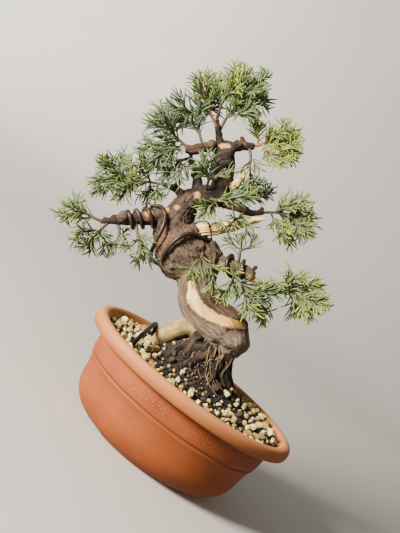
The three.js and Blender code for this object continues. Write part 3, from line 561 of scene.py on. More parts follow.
# %% Surface roots on the soil's mound
SOIL_EDGE = 73.5
SOIL_RADIUS = 87.6
SOIL_FADE = 9
ROOT_RISE = ((0.15, 2.5, 1.35), (0.45, 1, 1), (0.75, 0, 0.75), (1, -5, 0.5))


def hill(x, y, height, middle, widths):
    return height * np.exp(-((x - middle[0]) / widths[0]) ** 2 - ((y - middle[1]) / widths[1]) ** 2)


def soil_height(x, y):
    """The top of the soil in mm: mounded round the roots, heaped to the rim at the right and the back."""
    mounds = hill(x, y, 23, (2, 9), (29, 26)) + hill(x, y, 11, (-22, 9), (19, 17))
    heaps = hill(x, y, 5.5, (60, 14), (36, 40)) + hill(x, y, 3.5, (0, 60), (70, 20))
    ripple = 0.5 * np.sin(x / 5) * np.cos(y / 6)
    fade = np.clip((SOIL_RADIUS - np.hypot(x, y / OVAL)) / SOIL_FADE, 0, 1)
    return SOIL_EDGE + mounds + (heaps + ripple) * fade


def bed_height(x, y):
    """The soil's top with crumbs heaped in the arch of the thick root."""
    return soil_height(x, y) + hill(x, y, 5.5, (-27, 11), (9, 10))


def surface_root(degrees, reach, radius):
    line = []
    for i, (share, lift, _) in enumerate(ROOT_RISE):
        way = math.radians(degrees + 9 * math.sin(3 * i + degrees))
        x = 2 + math.cos(way) * reach * share
        y = 9 + math.sin(way) * reach * share
        line.append((x, y, float(soil_height(x, y)) + lift))
    line = unplant(np.array(line) * MM + np.array(POT))
    return stem_of(line, [radius * taper for _, _, taper in ROOT_RISE])


SURFACE_ROOTS = [surface_root(*root) for root in (
    (207, 40, 5), (236, 32, 4.4), (290, 28, 3.4), (340, 36, 3.6), (30, 34, 4.4), (150, 38, 4.2),
)]
WOOD = [TRUNK, LEFT_LOW, RIGHT_LOW, UPPER_TRUNK, *KNOBS, *BRANCHES, *TOP_BRANCHES, *ROOTS, *SURFACE_ROOTS]
print("wood stems", len(WOOD))

# %% [markdown]
# ## Trunk, branches and roots
# All the living wood is one grown body. Each stem is drawn as a curve with a radius at each point,
# the curves are turned into tubes, and a Remesh modifier fuses the tubes into one skin. A Smooth
# modifier softens the joints, as growth does. The upper trunk was sawn off at a slant: its tube is cut
# at that plane first, and the fused skin is pressed flat on it afterwards.

# %% Tubes along stems
def tube_object(name, stems, steps=10, sides=6, planted=True):
    """One curve object with a spline for each stem, turned into a mesh of closed tubes."""
    curve = bpy.data.curves.new(name, "CURVE")
    curve.dimensions = "3D"
    curve.bevel_depth = MM
    curve.bevel_resolution = sides
    curve.use_fill_caps = True
    for stem in stems:
        count = stem.last * steps + 1
        line = [stem.point(i / (count - 1)) for i in range(count)]
        if planted:
            line = plant(line)
        spline = curve.splines.new("POLY")
        spline.points.add(count - 1)
        for i, point in enumerate(line):
            spline.points[i].co = (*point, 1)
            spline.points[i].radius = stem.radius(i / (count - 1))
    piece = bpy.data.objects.new(name, curve)
    bpy.context.scene.collection.objects.link(piece)
    pick(piece)
    bpy.ops.object.convert(target="MESH")
    return bpy.context.object


def fuse(piece, voxel, smooth_steps):
    """Turns overlapping tubes into one skin of even cells, voxel mm wide, and softens it."""
    remesh = piece.modifiers.new("fuse", "REMESH")
    remesh.mode = "VOXEL"
    remesh.voxel_size = voxel * MM
    soften = piece.modifiers.new("soften", "SMOOTH")
    soften.factor = 0.5
    soften.iterations = smooth_steps
    apply_modifiers(piece)


# %% One skin, with the top cut off at a slant
trunk = tube_object("trunk_wood", [stem for stem in WOOD if stem is not UPPER_TRUNK], steps=8)
upper_tube = tube_object("upper_tube", [UPPER_TRUNK], steps=8)
CUT_SLOPE = math.radians(46)
CUT_PLACE = np.array([15.0, 0, 188.0])
CUT_FRONT = np.array([0, -math.sin(CUT_SLOPE), math.cos(CUT_SLOPE)])
column = unplant(read_points(upper_tube))
above = np.maximum((column - CUT_PLACE) @ CUT_FRONT, 0)
column[:, 2] -= above / CUT_FRONT[2]
write_points(upper_tube, plant(column))
merge(trunk, upper_tube)
fuse(trunk, 0.95, 5)
print("fused trunk", len(trunk.data.vertices), "points")

# %% [markdown]
# Bark runs along each stem, so every point of the skin is given coordinates of its own: two across
# the stem and one along it. They are stored on the mesh as "flow" and used twice, for the relief here
# and for the streaks in the bark's material.

# %% Flow coordinates
BATCH = 4000


def flow_of(points, stems, samples=40):
    """For tree points: flow coordinates in mm, the nearest stem's index and the share along it."""
    rows = []
    for index, stem in enumerate(stems):
        along = 0.0
        before = stem.point(0)
        for i in range(samples + 1):
            t = i / samples
            centre, ahead, front, side = stem.frame(t)
            along += np.linalg.norm(centre - before)
            before = centre
            rows.append(np.concatenate([centre, [stem.radius(t)], front, side, ahead, [along, index, t]]))
    table = np.array(rows)
    nearest = np.zeros(len(points), int)
    for start in range(0, len(points), BATCH):
        part = points[start:start + BATCH]
        gap = np.linalg.norm(part[:, None, :] - table[None, :, :3], axis=2) - table[None, :, 3]
        nearest[start:start + BATCH] = gap.argmin(axis=1)
    best = table[nearest]
    reach = points - best[:, :3]
    flow = np.stack([np.einsum("ij,ij->i", reach, best[:, i:i + 3]) for i in (4, 7, 10)], axis=1)
    flow[:, 2] += best[:, 13]
    return flow, best[:, 14].astype(int), best[:, 15]


def on_plane(points):
    """Height over the plane of the cut, and the distance from the cut's middle along it."""
    from_cut = points - CUT_PLACE
    over = from_cut @ CUT_FRONT
    return over, np.linalg.norm(from_cut - np.outer(over, CUT_FRONT), axis=1)


trunk_points = unplant(read_points(trunk))
CUT_BURR, CUT_REACH = 9, 7.5
over, off_middle = on_plane(trunk_points)
flat = (over > 0) & (over < CUT_BURR) & (off_middle < CUT_REACH) & (trunk_points[:, 1] < 4)
trunk_points[flat] -= np.outer(over[flat], CUT_FRONT)
write_points(trunk, plant(trunk_points))
flow, owner, share = flow_of(trunk_points, WOOD)
print("flow ranges in mm", flow.min(0).round(), flow.max(0).round())

# %% [markdown]
# Three kinds of relief shape the bark: broad swellings, ridges that run with the grain, and on the
# upper wood the lifted edges of flakes. The bare strip on the lower trunk is sunken, with a raised
# lip of living bark on each side. The material reads three layers of numbers from the mesh: "zones"
# (flaky upper bark, the thick root, pale cuts, fibrous roots), "shades" (red, painted shade on the
# crown's wood, painted shade on faces turned down) and "relief" (ridges, flake edges, the strip's lip,
# the strip itself).

# %% Zones of the wood
def smooth_step(low, high, values):
    share = np.clip((values - low) / (high - low), 0, 1)
    return share * share * (3 - 2 * share)


def noise_at(points, scale, octaves=2, offset=0.0):
    """Soft noise from about -1 to 1 at each point."""
    out = np.empty(len(points))
    for i, point in enumerate(points):
        at = Vector((point[0] * scale + offset, point[1] * scale, point[2] * scale))
        out[i] = noise.fractal(at, 0.8, 2.1, octaves) if octaves > 1 else noise.noise(at)
    return out


def strip_depth(points, stem, samples=60):
    """How far inside a stem each point lies, from 1 on its line to 0 at its radius."""
    best = np.full(len(points), -9.0)
    for i in range(samples + 1):
        t = i / samples
        gap = np.linalg.norm(points - stem.point(t), axis=1)
        best = np.maximum(best, 1 - gap / stem.radius(t))
    return best


# ROOTS[0] and the roots after the thick one, ROOTS[1], are dark and fibrous
FIRST_ROOT = WOOD.index(ROOTS[0])
THICK_ROOT = FIRST_ROOT + 1
# Where the bark turns flaky, in mm up the tree, and how the bare strip's depth makes its bed and lip
FLAKY_FROM, FLAKY_FULL = 66, 92
STRIP_WAVER = 0.26
STRIP_BED = (-0.18, 0.0)
STRIP_LIP = (-0.50, -0.24)
waver = noise_at(trunk_points, 0.09, 3)
upper = smooth_step(FLAKY_FROM, FLAKY_FULL, trunk_points[:, 2] + 9 * waver)
rooty = (owner == THICK_ROOT) * smooth_step(-2, -12, trunk_points[:, 0])
fine_root = ((owner > THICK_ROOT) | (owner == FIRST_ROOT)).astype(float)
strip = strip_depth(trunk_points, SHARI) + STRIP_WAVER * noise_at(trunk_points, 0.33, 4, 7.0)
sunken = smooth_step(*STRIP_BED, strip)
lip = smooth_step(*STRIP_LIP, strip) * (1 - sunken)
print("strip points", int((sunken > 0.5).sum()))

# %% Cut, pale and red places
def spotted(spots):
    """For each point: 1 inside one of the spots given as x, y, z and reach, falling to 0 round it."""
    inside = np.zeros(len(trunk_points))
    for x, y, z, reach in spots:
        gap = np.linalg.norm(trunk_points - np.array([x, y, z]), axis=1)
        inside = np.maximum(inside, smooth_step(reach, reach * 0.6, gap + 1.2 * waver))
    return inside


CUT_BURIED, CUT_RIM = 1.2, (6.0, 4.8)
PALE_SPOTS = [
    (-9, -10, 143, 3.6), (-35, -9, 128, 4.2), (-50, -13, 126, 4.0), (48, -2, 136, 3.0),
    (-16.5, -3, 184, 2.6), (39, -20, 69, 4.6), (30, 1, 199, 2.6), (-18, -4, 149, 3.2),
    (-26, -12, 131, 3.2),
]
RED_SPOTS = [
    (-37, -14, 101, 13), (-14, -18, 74, 6), (34, -9, 27, 3.5), (-24, -12, 60, 6), (-21, -14, 69, 6),
    (16, -12, 43, 8), (7, -13, 51, 7), (25, -9, 39, 6), (-11, -8, 185, 9), (1, -8, 188, 5),
    (30, -2, 191, 6), (-52, -13, 124, 7), (-73, -15, 122, 6),
]
red = 0.75 * spotted(RED_SPOTS)
over, off_middle = on_plane(trunk_points)
on_cut = (np.abs(over) < CUT_BURIED) & (trunk_points[:, 1] < 5)
pale = np.maximum(spotted(PALE_SPOTS), on_cut * smooth_step(*CUT_RIM, off_middle))


def owned_by(*stems):
    return np.isin(owner, [WOOD.index(stem) for stem in stems])


# Painted shade: the crown's branches are painted darker, and the two low ones grow darker towards their ends
from_left, tall = trunk_points[:, 0], trunk_points[:, 2]
painted_shade = (1 - 0.7 * red) * np.max([
    smooth_step(112, 150, tall) * owned_by(UPPER_TRUNK, *KNOBS, *BRANCHES[1:], *TOP_BRANCHES),
    0.55 * smooth_step(104, 122, tall),
    0.8 * owned_by(LEFT_LOW) * smooth_step(-34, -50, from_left),
    0.5 * owned_by(RIGHT_LOW) * smooth_step(12, 24, from_left),
], axis=0)
print("red and dark points", int((red > 0.4).sum()), int((painted_shade > 0.5).sum()))

# %% Bark relief
grain_lines = noise_at(flow * np.array([1, 1, 0.11]), 0.50, 4)
swelling = noise_at(trunk_points, 0.07, 2, 3.0)
flakes = np.abs(noise_at(flow * np.array([1, 1, 0.3]), 0.42, 4, 11.0))
bulges = noise_at(trunk_points, 0.24, 2, 19.0)
thick = np.array([WOOD[k].radius(t) for k, t in zip(owner, share)])
# Thin wood has shallow relief, and the thick root hardly any ridges
strength = np.clip(thick / 12, 0.25, 1.0)
ridge = np.where(owner > THICK_ROOT, 1.3, 1.0)
ridge[owner == THICK_ROOT] = 0.2
# In mm: swellings, then ridges, then the flakes and bulges of the upper wood
relief_mm = strength * (
    (1.0 + 0.5 * upper) * swelling
    + (0.6 + 0.3 * upper) * grain_lines * ridge
    + upper * (0.45 - 1.3 * flakes + 0.9 * bulges)
) * (1 - 0.8 * sunken) * (1 - 0.9 * pale)
relief_mm += 0.9 * lip - 1.1 * sunken
relief_mm += fine_root * (1.1 * noise_at(trunk_points, 0.33, 3, 23.0) - 0.2)
write_points(trunk, plant(trunk_points) + normals_of(trunk) * relief_mm[:, None] * MM)
# Painted shade: how far each face turns down, for painting the thick root's underside darker
painted_underside_shade = smooth_step(0.15, -0.55, normals_of(trunk)[:, 2])
ridges = grain_lines * (1 - 0.8 * rooty) + 0.3 * rooty
set_attribute(trunk, "flow", flow)
set_attribute(trunk, "zones", [upper, rooty, pale, fine_root])
set_attribute(trunk, "shades", [red, painted_shade, painted_underside_shade])
set_attribute(trunk, "relief", [ridges, flakes, lip, sunken])
smooth(trunk)
print("relief in mm", relief_mm.min().round(2), relief_mm.max().round(2))

# %% [markdown]
# Old juniper bark is grey-brown with fine streaks low down, and red-brown and flaky above. Hollows
# are darker than ridges, because dirt and shade stay there. The thick root is yellow-brown, with
# painted shade on its underside, the crown's wood is darkened by painted shade, and cut places show
# pale wood. One material reads all this from the mesh's own values.

# %% Bark finish
bark = Finish("juniper_bark", 0.85)
is_upper, is_rooty, is_pale, is_fine_root = bark.channels("zones")
is_red, is_painted_shade, is_painted_underside_shade = bark.add("SeparateXYZ", {0: bark.attribute("shades")["Vector"]}).outputs
ridge_read, flake_read, lip_read, _ = bark.channels("relief")
streaky = bark.effect(fibres, bark.attribute("flow")["Vector"], Scale=0.55, Stretch=0.10)
flecks = bark.speckled(95.0, 1100.0)
streak, crack, blotch = streaky["Streak"], streaky["Crack"], flecks["Blotch"]

old = bark.layers(bark.mix(streak, (0.130, 0.088, 0.056), (0.430, 0.330, 0.225)), [
    (bark.ramp(blotch, 0.2, 1, 0, 0.5), (0.27, 0.20, 0.135)),
    (bark.ramp(crack, 0.5, 0.95, 0.0, 0.75), (0.060, 0.038, 0.025)),
])
flaky = bark.layers(bark.mix(blotch, (0.062, 0.038, 0.024), (0.190, 0.122, 0.074)), [
    (bark.ramp(streak, 0.5, 1.0, 0.0, 0.55), (0.33, 0.235, 0.148)),
    (bark.ramp(flake_read, 0.22, 0.55, 0.0, 0.75), (0.035, 0.022, 0.015)),
])
peeled = bark.mix(streak, (0.130, 0.060, 0.032), (0.330, 0.170, 0.090))
# The thick root's skin, with painted shade on its underside
root_skin = bark.layers(bark.mix(blotch, (0.25, 0.160, 0.050), (0.70, 0.51, 0.19)), [
    (bark.ramp(streak, 0.65, 0.95, 0, 0.5), (0.20, 0.15, 0.06)),
    (is_painted_underside_shade, (0.075, 0.062, 0.025)),
])
# Painted shade: the hollows among the fine roots are painted near black
hair = bark.layers(bark.mix(streak, (0.011, 0.007, 0.005), (0.150, 0.095, 0.048)), [
    (bark.ramp(ridge_read, -0.1, 0.5, 0.85, 0.0), (0.010, 0.007, 0.005)),
])

# %% The bark's colours laid over each other
# Painted shade darkens the crown's wood and the ends of the low branches
painted_shade_tint = bark.mix(is_painted_shade, (1, 1, 1), (0.29, 0.265, 0.26))
hollows = bark.mix(bark.ramp(ridge_read, -0.6, 0.25), (0.52, 0.46, 0.42), (1, 1, 1))
skin = bark.layers(old, [(is_upper, flaky), (is_red, peeled)])
skin = bark.layers(bark.mix(1.0, skin, painted_shade_tint, "MULTIPLY"), [
    (is_rooty, root_skin), (is_fine_root, hair),
    (bark.ramp(lip_read, 0.15, 0.8, 0.0, 0.75), (0.20, 0.085, 0.045)), (is_pale, (0.88, 0.47, 0.15)),
])
bark.set("Base Color", bark.mix(1.0, skin, hollows, "MULTIPLY"))
bark.bump(bark.times(crack, -0.6, flecks["Grain"]), 0.85, 0.0009)
finish_piece(trunk, "trunk_bark", bark, ["trunk"])

# %% [markdown]
# ## Deadwood
# Shari is a strip where the bark has been stripped and the wood bleached; jin is a bare, stripped
# branch. The shari is lifted off the trunk's own skin: the faces inside the strip are copied, kept a
# hair above the wood and given a thickness. The jins are tubes with split fibres and a torn tip.

# %% The bare strip on the trunk
def split_off(source, keep, name, lift):
    """A copy of the source's faces whose points are all kept, lifted by lift mm."""
    points = read_points(source) + normals_of(source) * lift * MM
    faces = [list(face.vertices) for face in source.data.polygons if all(keep[v] for v in face.vertices)]
    used = sorted({v for face in faces for v in face})
    place = {v: i for i, v in enumerate(used)}
    piece = mesh_piece(name, points[used], [[place[v] for v in face] for face in faces])
    return piece, np.array(used)


shari, used = split_off(trunk, sunken > 0.55, "shari_strip", 0.12)
set_attribute(shari, "flow", flow[used])
strip_share = smooth_step(18, -17, trunk_points[used][:, 0])
stains = noise_at(flow[used] * np.array([1, 1, 0.12]), 0.30, 3, 5.0)
clean = np.clip(smooth_step(0.62, 1.0, sunken[used]) - 0.7 * smooth_step(0.0, 0.45, stains), 0, 1)
set_attribute(shari, "zones", [strip_share, clean, 0 * clean, 0 * clean + 1])
thickness = shari.modifiers.new("thickness", "SOLIDIFY")
thickness.thickness = 0.9 * MM
thickness.offset = -1
apply_modifiers(shari)
smooth(shari)

# %% Deadwood finish
deadwood = Finish("bleached_wood", 0.68)
is_fresh_and_lit, is_clean_and_lit, _, _ = deadwood.channels("zones")
streaky = deadwood.effect(fibres, deadwood.attribute("flow")["Vector"], Scale=1.1, Stretch=0.06)
streak = streaky["Streak"]
amber = deadwood.mix(streak, (0.80, 0.37, 0.050), (1.0, 0.62, 0.14))
pale_wood = deadwood.mix(streak, (0.88, 0.60, 0.17), (1.0, 0.89, 0.36))
# On the jins the pale and clean shares also carry painted shade on the underside
deadwood.set("Base Color", deadwood.layers(amber, [
    (deadwood.ramp(is_fresh_and_lit, 0, 1, 0.0, 0.9), pale_wood),
    (deadwood.ramp(deadwood.speckled(110.0, 1500.0)["Blotch"], 0.72, 1.0, 0, 0.35), (0.62, 0.32, 0.14)),
    (deadwood.ramp(is_clean_and_lit, 1, 0, 0, 0.8), (0.36, 0.13, 0.06)),
    (deadwood.ramp(streaky["Crack"], 0.5, 1.0, 0, 0.6), (0.26, 0.15, 0.09)),
]))
deadwood.bump(streak, 0.55, 0.0005)
finish_piece(shari, "shari_bare_strip", deadwood, ["shari"])

# %% Jins
def make_jin(name, stem, node_name, fresh):
    """A torn dead branch; fresh says how pale its wood is on the sunny side. Its underside is painted darker
    and less pale, as painted shade.
    """
    jin = tube_object(name, [stem], steps=14)
    fuse(jin, 0.5, 2)
    points = unplant(read_points(jin))
    own_flow, _, along = flow_of(points, [stem])
    splits = noise_at(own_flow * np.array([1, 1, 0.06]), 0.75, 3)
    thin = np.clip(np.array([stem.radius(t) for t in along]) / 5, 0.15, 1)
    write_points(jin, plant(points) + normals_of(jin) * (thin * (1.3 * splits - 0.2))[:, None] * MM)
    # Painted shade: faces turned down are marked, to be painted darker and less pale
    under = smooth_step(0.3, -0.9, normals_of(jin)[:, 2])
    set_attribute(jin, "flow", own_flow)
    set_attribute(jin, "zones", [fresh * (1 - 0.8 * under), 1 - 0.45 * under, 0 * under, 0 * under + 1])
    smooth(jin)
    finish_piece(jin, name, deadwood, [node_name])


make_jin("jin_long", JIN_RIGHT, "jin_right", 0.85)
make_jin("jin_short", JIN_UPPER, "jin_upper", 0.9)

# %% [markdown]
# ## Wires
# Training wire is soft aluminium with a brown coat. It is wound round a branch and led across the
# trunk, so its line is partly a coil and partly a free bend. A curve with a round bevel draws it as
# it is made: one thickness from end to end. A thin wire hooks over the jin, and a black one holds the
# root down in the pot.

# %% Wire routes
WIRE_RADIUS = 1.75
WIRE_LIFT = WIRE_RADIUS + 0.7


def coil(stem, start, end, first_angle, last_angle, lift):
    """Ten points a turn round a stem, from share start to share end of its length."""
    count = round(abs(last_angle - first_angle) / (2 * math.pi) * 10)
    shares = [i / count for i in range(count + 1)]
    return [stem.around(start + (end - start) * s, first_angle + (last_angle - first_angle) * s, lift)
            for s in shares]


WIRE_LEFT = [
    *coil(LEFT_LOW, 3.35 / 6, 1.5 / 6, math.pi / 2, math.pi / 2 - 6 * math.pi, WIRE_LIFT),
    (-40, -11, 132), (-36.5, -16.5, 126), (-36, -20.5, 118), (-39, -22, 109), (-44, -18.5, 100),
    (-48, -9, 92), (-47.5, 4, 88), (-39, 19, 85), (-24, 26, 84),
]
WIRE_RIGHT = [
    (-26, 24, 112), (-11, 20, 109), (1, 8, 105), (2, -7, 102.5), (-4, -17, 103.5), (-11, -23, 106),
    (-19, -26.5, 105), (-27, -27, 100), (-34, -24, 93), (-38, -17, 86), (-35, -5, 79), (-27, 10, 76),
    (-12, 22, 78), (6, 19, 83),
    *coil(RIGHT_LOW, 0.3, 0.9, -1.0 * math.pi, 3.6 * math.pi, WIRE_LIFT),
]
HOOK = [(-13, -8, 118), (-7, -12, 118.6), (0, -17.5, 117.2), (2, -20.6, 111), (3, -19.5, 105.5),
        (3.5, -15, 102.5)]
ANCHOR = [(-56, -42, 58), (-56, -41, 72), (-56, -30, 80), (-56, -8, 85.5), (-56, 14, 88), (-55, 32, 83),
          (-54, 41, 72), (-54, 42, 58)]
print("wire points", len(WIRE_LEFT), len(WIRE_RIGHT))

# %% Wire finish
def wire_finish(name, colour, worn, metal, sheen):
    coat = Finish(name, 0.38)
    marks = coat.speckled(140.0, 2200.0)
    coat.set("Base Color", coat.mix(coat.ramp(marks["Blotch"], 0.75, 1.0, 0, 0.5), colour, worn))
    coat.set("Roughness", coat.ramp(marks["Grain"], 0, 1, 0.3, 0.5))
    coat.set("Metallic", metal)
    coat.set("Specular IOR Level", sheen)
    coat.bump(marks["Grain"], 0.15, 0.0002)
    return coat


def make_wire(name, route, radius, finish, node_name, planted=True):
    if not planted:
        route = [POT + Vector(point) * MM for point in route]
    wire = tube_object(name, [stem_of(route, [radius] * len(route))], steps=6, sides=4, planted=planted)
    smooth(wire, 50)
    finish_piece(wire, name, finish, [node_name])


brown_coat = wire_finish("brown_wire_coat", (0.050, 0.028, 0.022), (0.20, 0.13, 0.10), 0.55, 0.5)
black_coat = wire_finish("black_wire_coat", (0.006, 0.006, 0.007), (0.02, 0.02, 0.02), 0.0, 0.12)
make_wire("training_wire_left", WIRE_LEFT, WIRE_RADIUS, brown_coat, "wire_left")
make_wire("training_wire_right", WIRE_RIGHT, WIRE_RADIUS, brown_coat, "wire_right")
make_wire("hook_over_jin", HOOK, 0.6, brown_coat, "hook_wire")
make_wire("root_anchor", ANCHOR, 2.0, black_coat, "anchor_wire", planted=False)

# %% [markdown]
# ## Soil
# The soil is a dark bed with a loose layer of grains on it: pale pumice, tan and amber lumps, and
# dark bits between. The bed is spun like the pot and its top is raised by the same hills as the CAD
# soil. A few lumps are modelled from icospheres, then strewn by a seeded rule, each copy
# turned, stretched and coloured in its own way.

# %% Soil bed
BED_LOW = [(0, 10.3), (55.5, 10.3), (65.5, 13), (71.5, 20), (75.5, 34), (78.5, 50), (80.5, 63), (86.5, 71.5)]
BED_RINGS = [SOIL_RADIUS, 85, 82, 79, 76, 72, *range(68, -1, -4)]
GRAIN_ROOM = 1.6

bed = outline_piece("bed", [*BED_LOW, *((radius, SOIL_EDGE) for radius in BED_RINGS)])
spin_round(bed, 120)
points = read_points(bed) / MM
points[:, 1] *= OVAL
top = points[:, 2] > SOIL_EDGE - 0.1
rough = noise_at(points, 0.16, 3)
points[top, 2] = bed_height(points[top, 0], points[top, 1]) - GRAIN_ROOM + 1.1 * rough[top]
write_points(bed, points * MM + np.array(POT))
smooth(bed)

# %% Lumps to strew
def make_lump(seed, flat):
    """One irregular lump, about 1 across, pushed out of round and chipped flat in ten places."""
    bpy.ops.object.select_all(action="DESELECT")
    bpy.ops.mesh.primitive_ico_sphere_add(subdivisions=2, radius=0.5)
    lump = bpy.context.object
    bpy.ops.object.mode_set(mode="EDIT")
    bpy.ops.mesh.select_all(action="SELECT")
    bpy.ops.transform.resize(value=(1, 0.85, flat))
    bpy.ops.object.mode_set(mode="OBJECT")
    points = read_points(lump)
    points *= (1 + 0.30 * noise_at(points, 1.6, 2, seed * 5.3))[:, None]
    chips = random.Random(seed)
    for _ in range(10):
        way = np.array([chips.uniform(-1, 1), chips.uniform(-1, 1), chips.uniform(-flat, flat)])
        way /= np.linalg.norm(way)
        points -= np.outer(np.maximum(points @ way - chips.uniform(0.17, 0.28), 0), way)
    shape = (points, [list(face.vertices) for face in lump.data.polygons])
    bpy.data.objects.remove(lump)
    return shape


LUMPS = [make_lump(seed + 1, flat) for seed, flat in enumerate((0.8, 0.65, 0.75, 0.55, 0.9))]


def copies(name, placements):
    """One mesh made of many copies: each placement is a shape, a 4x4 array and one colour or many."""
    all_points, all_faces, colours = [], [], []
    count = 0
    for (points, faces), matrix, colour in placements:
        all_points.append(moved(points, matrix))
        all_faces += [[v + count for v in face] for face in faces]
        colours.append(np.tile(colour, (len(points), 1)) if np.ndim(colour) == 1 else colour)
        count += len(points)
    piece = mesh_piece(name, np.vstack(all_points), all_faces)
    set_attribute(piece, "tint", np.vstack(colours))
    return piece

# %% Strew the grains
# Each colour with its share of the bag
PALE_GRAINS = [
    ((0.86, 0.67, 0.24), 7), ((0.98, 0.87, 0.46), 7), ((0.72, 0.50, 0.15), 5), ((0.45, 0.28, 0.10), 2),
    ((0.42, 0.19, 0.06), 1), ((0.07, 0.045, 0.028), 3),
]
# The dark crumbs strewn round the roots: partly humus, partly painted shade
DARK_GRAINS = [
    ((0.014, 0.010, 0.007), 9), ((0.032, 0.021, 0.013), 6), ((0.10, 0.065, 0.035), 2),
    ((0.76, 0.58, 0.26), 3), ((0.38, 0.20, 0.07), 1),
]
PALE_BAG, DARK_BAG = ([colour for colour, count in colours for _ in range(count)]
                      for colours in (PALE_GRAINS, DARK_GRAINS))
GRAIN_TRIES = 9000
STREWN_RADIUS = 86.5
PACKING = 0.43
# The smallest size, the spread over it and how strongly small ones win
HUMUS_SIZE, GRAIN_SIZE = (1.8, 3.6, 2), (4.2, 6.2, 1.3)
HEEL, HEEL_RADIUS = (3, 6), 15
dice = random.Random(12)


def grain_placement(x, y, size, colour):
    tilt = Matrix.Rotation(dice.uniform(-0.7, 0.7), 3, "X") @ Matrix.Rotation(dice.uniform(-0.7, 0.7), 3, "Y")
    spin = tilt @ Matrix.Rotation(dice.uniform(0, 6.28), 3, "Z")
    matrix = np.eye(4)
    stretch = np.diag([dice.uniform(0.95, 1.6), 1.1, dice.uniform(0.85, 1.2)])
    matrix[:3, :3] = np.array(spin) @ stretch * size * MM
    lift = 0.12 * size - 0.9
    matrix[:3, 3] = POT + Vector((x, y, float(bed_height(x, y)) + lift)) * MM
    shade = dice.uniform(0.75, 1.12)
    return dice.choice(LUMPS), matrix, np.array([*(c * shade for c in colour), 1.0])


placements = []
taken = []
for _ in range(GRAIN_TRIES):
    angle, reach = dice.uniform(0, 2 * math.pi), math.sqrt(dice.random()) * STREWN_RADIUS
    x, y = math.cos(angle) * reach, math.sin(angle) * reach * OVAL
    # Near the trunk's foot and under the thick root the grains are dark crumbs, partly humus and partly painted
    # shade round the roots
    humus_and_shade = max(hill(x, y, 1, (6, -8), (32, 44)), hill(x, y, 0.9, (-24, 8), (13, 18)))
    is_humus_and_shade = dice.random() < humus_and_shade
    least, spread, power = HUMUS_SIZE if is_humus_and_shade else GRAIN_SIZE
    size = min(least + spread * dice.random() ** power, (SOIL_RADIUS - 0.2 - reach) * 1.7 + 2.2)
    near = [(a, b, s) for a, b, s in taken if abs(a - x) < 7 and abs(b - y) < 7]
    if any(math.hypot(a - x, b - y) < PACKING * (s + size) for a, b, s in near):
        continue
    if math.hypot(x - HEEL[0], (y - HEEL[1]) * 1.2) < HEEL_RADIUS:
        continue
    taken.append((x, y, size))
    colour = dice.choice(DARK_BAG if is_humus_and_shade else PALE_BAG)
    placements.append(grain_placement(x, y, size, colour))
grains = copies("grains", placements)
print("grains", len(placements))

# %% Soil finish
def tinted_finish(name, roughness, bump_distance, spread):
    """A finish that takes its colour from the mesh and darkens it in blotches."""
    made = Finish(name, roughness)
    tint = made.attribute("tint")["Color"]
    marks = made.speckled(260.0, 1900.0)
    colour = made.mix(marks["Blotch"], made.mix(spread, tint, (0.10, 0.07, 0.05), "MULTIPLY"), tint)
    made.set("Base Color", made.mix(0.25, colour, marks["Grain"], "OVERLAY"))
    made.bump(marks["Grain"], 0.6, bump_distance)
    return made


pumice = tinted_finish("soil_grains", 0.92, 0.0004, 0.45)
paint(bed, [0.022, 0.015, 0.010, 1.0])
finish_piece(bed, "soil_bed", pumice, ["soil"])
finish_piece(grains, "soil_top_grains", pumice)

# %% [markdown]
# Between the roots the soil is full of fine root fibres. Each fibre is a thin line from under the
# trunk's heel that sways, runs down the mound and ends in the soil. Dark ones and tan ones mix.

# %% Root fibres
FIBRE_COUNT = 420
MOUND_MIDDLE = (3, 10)


def root_fibre(dice, under_arch):
    way = dice.uniform(2.7, 4.0) if under_arch else dice.uniform(0, 2 * math.pi)
    near, far = dice.uniform(3, 14), dice.uniform(16, 38)
    high, sway, phase = dice.uniform(3, 14), dice.uniform(-0.9, 0.9), dice.uniform(0, 6.28)
    line = []
    for i in range(8):
        share = i / 7
        turn = way + sway * share + 0.22 * math.sin(6 * share + phase)
        reach = near + (far - near) * share
        x = MOUND_MIDDLE[0] + math.cos(turn) * reach
        y = MOUND_MIDDLE[1] + math.sin(turn) * reach * 0.85
        lift = high * (1 - share) ** 1.6 + 1.4 * math.sin(9 * share + phase) - 2.0 * share
        line.append(POT + Vector((x, y, float(bed_height(x, y)) + lift)) * MM)
    radius = dice.uniform(0.28, 0.75)
    return stem_of(line, [radius * (1.1 - 0.6 * i / 7) for i in range(8)])


fibre_dice = random.Random(31)
fibre_pieces = []
for colour in ((0.010, 0.007, 0.005, 1), (0.030, 0.020, 0.012, 1), (0.23, 0.15, 0.075, 1)):
    strands = [root_fibre(fibre_dice, i % 4 == 0) for i in range(FIBRE_COUNT // 3)]
    fibre = tube_object("fibres", strands, steps=2, sides=1, planted=False)
    paint(fibre, colour)
    fibre_pieces.append(fibre)
merge(*fibre_pieces)
smooth(fibre_pieces[0])
finish_piece(fibre_pieces[0], "root_fibres", tinted_finish("root_fibre", 0.85, 0.0002, 0.5))

# %% Drain screens
screen_plastic = Finish("screen_plastic", 0.55)
marks = screen_plastic.speckled(90.0, 1800.0)
screen_plastic.set("Base Color", screen_plastic.mix(marks["Blotch"], (0.02, 0.02, 0.02), (0.055, 0.05, 0.045)))
screen_plastic.bump(marks["Grain"], 0.2, 0.0002)
for node_name in ("drain_screen_left", "drain_screen_right"):
    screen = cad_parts[node_name]
    screen.data.materials.clear()
    screen.data.materials.append(screen_plastic.material)

# %% [markdown]
# ## Foliage
# Juniper bears thin cords, long and needle-like on the shaded twigs and short, forked and bright at
# the growing tips. Two kinds of leaf are modelled once, a long cord and a forked tip, each in a few
# shapes. Copies stand all round every twig, and along small shoots that rise from it they stand in
# pairs that lean forward like the barbs of a feather. Cords that would cross the wood are dropped, and
# cords that would leave their spray's room are shortened. One spray with its twigs is one piece.

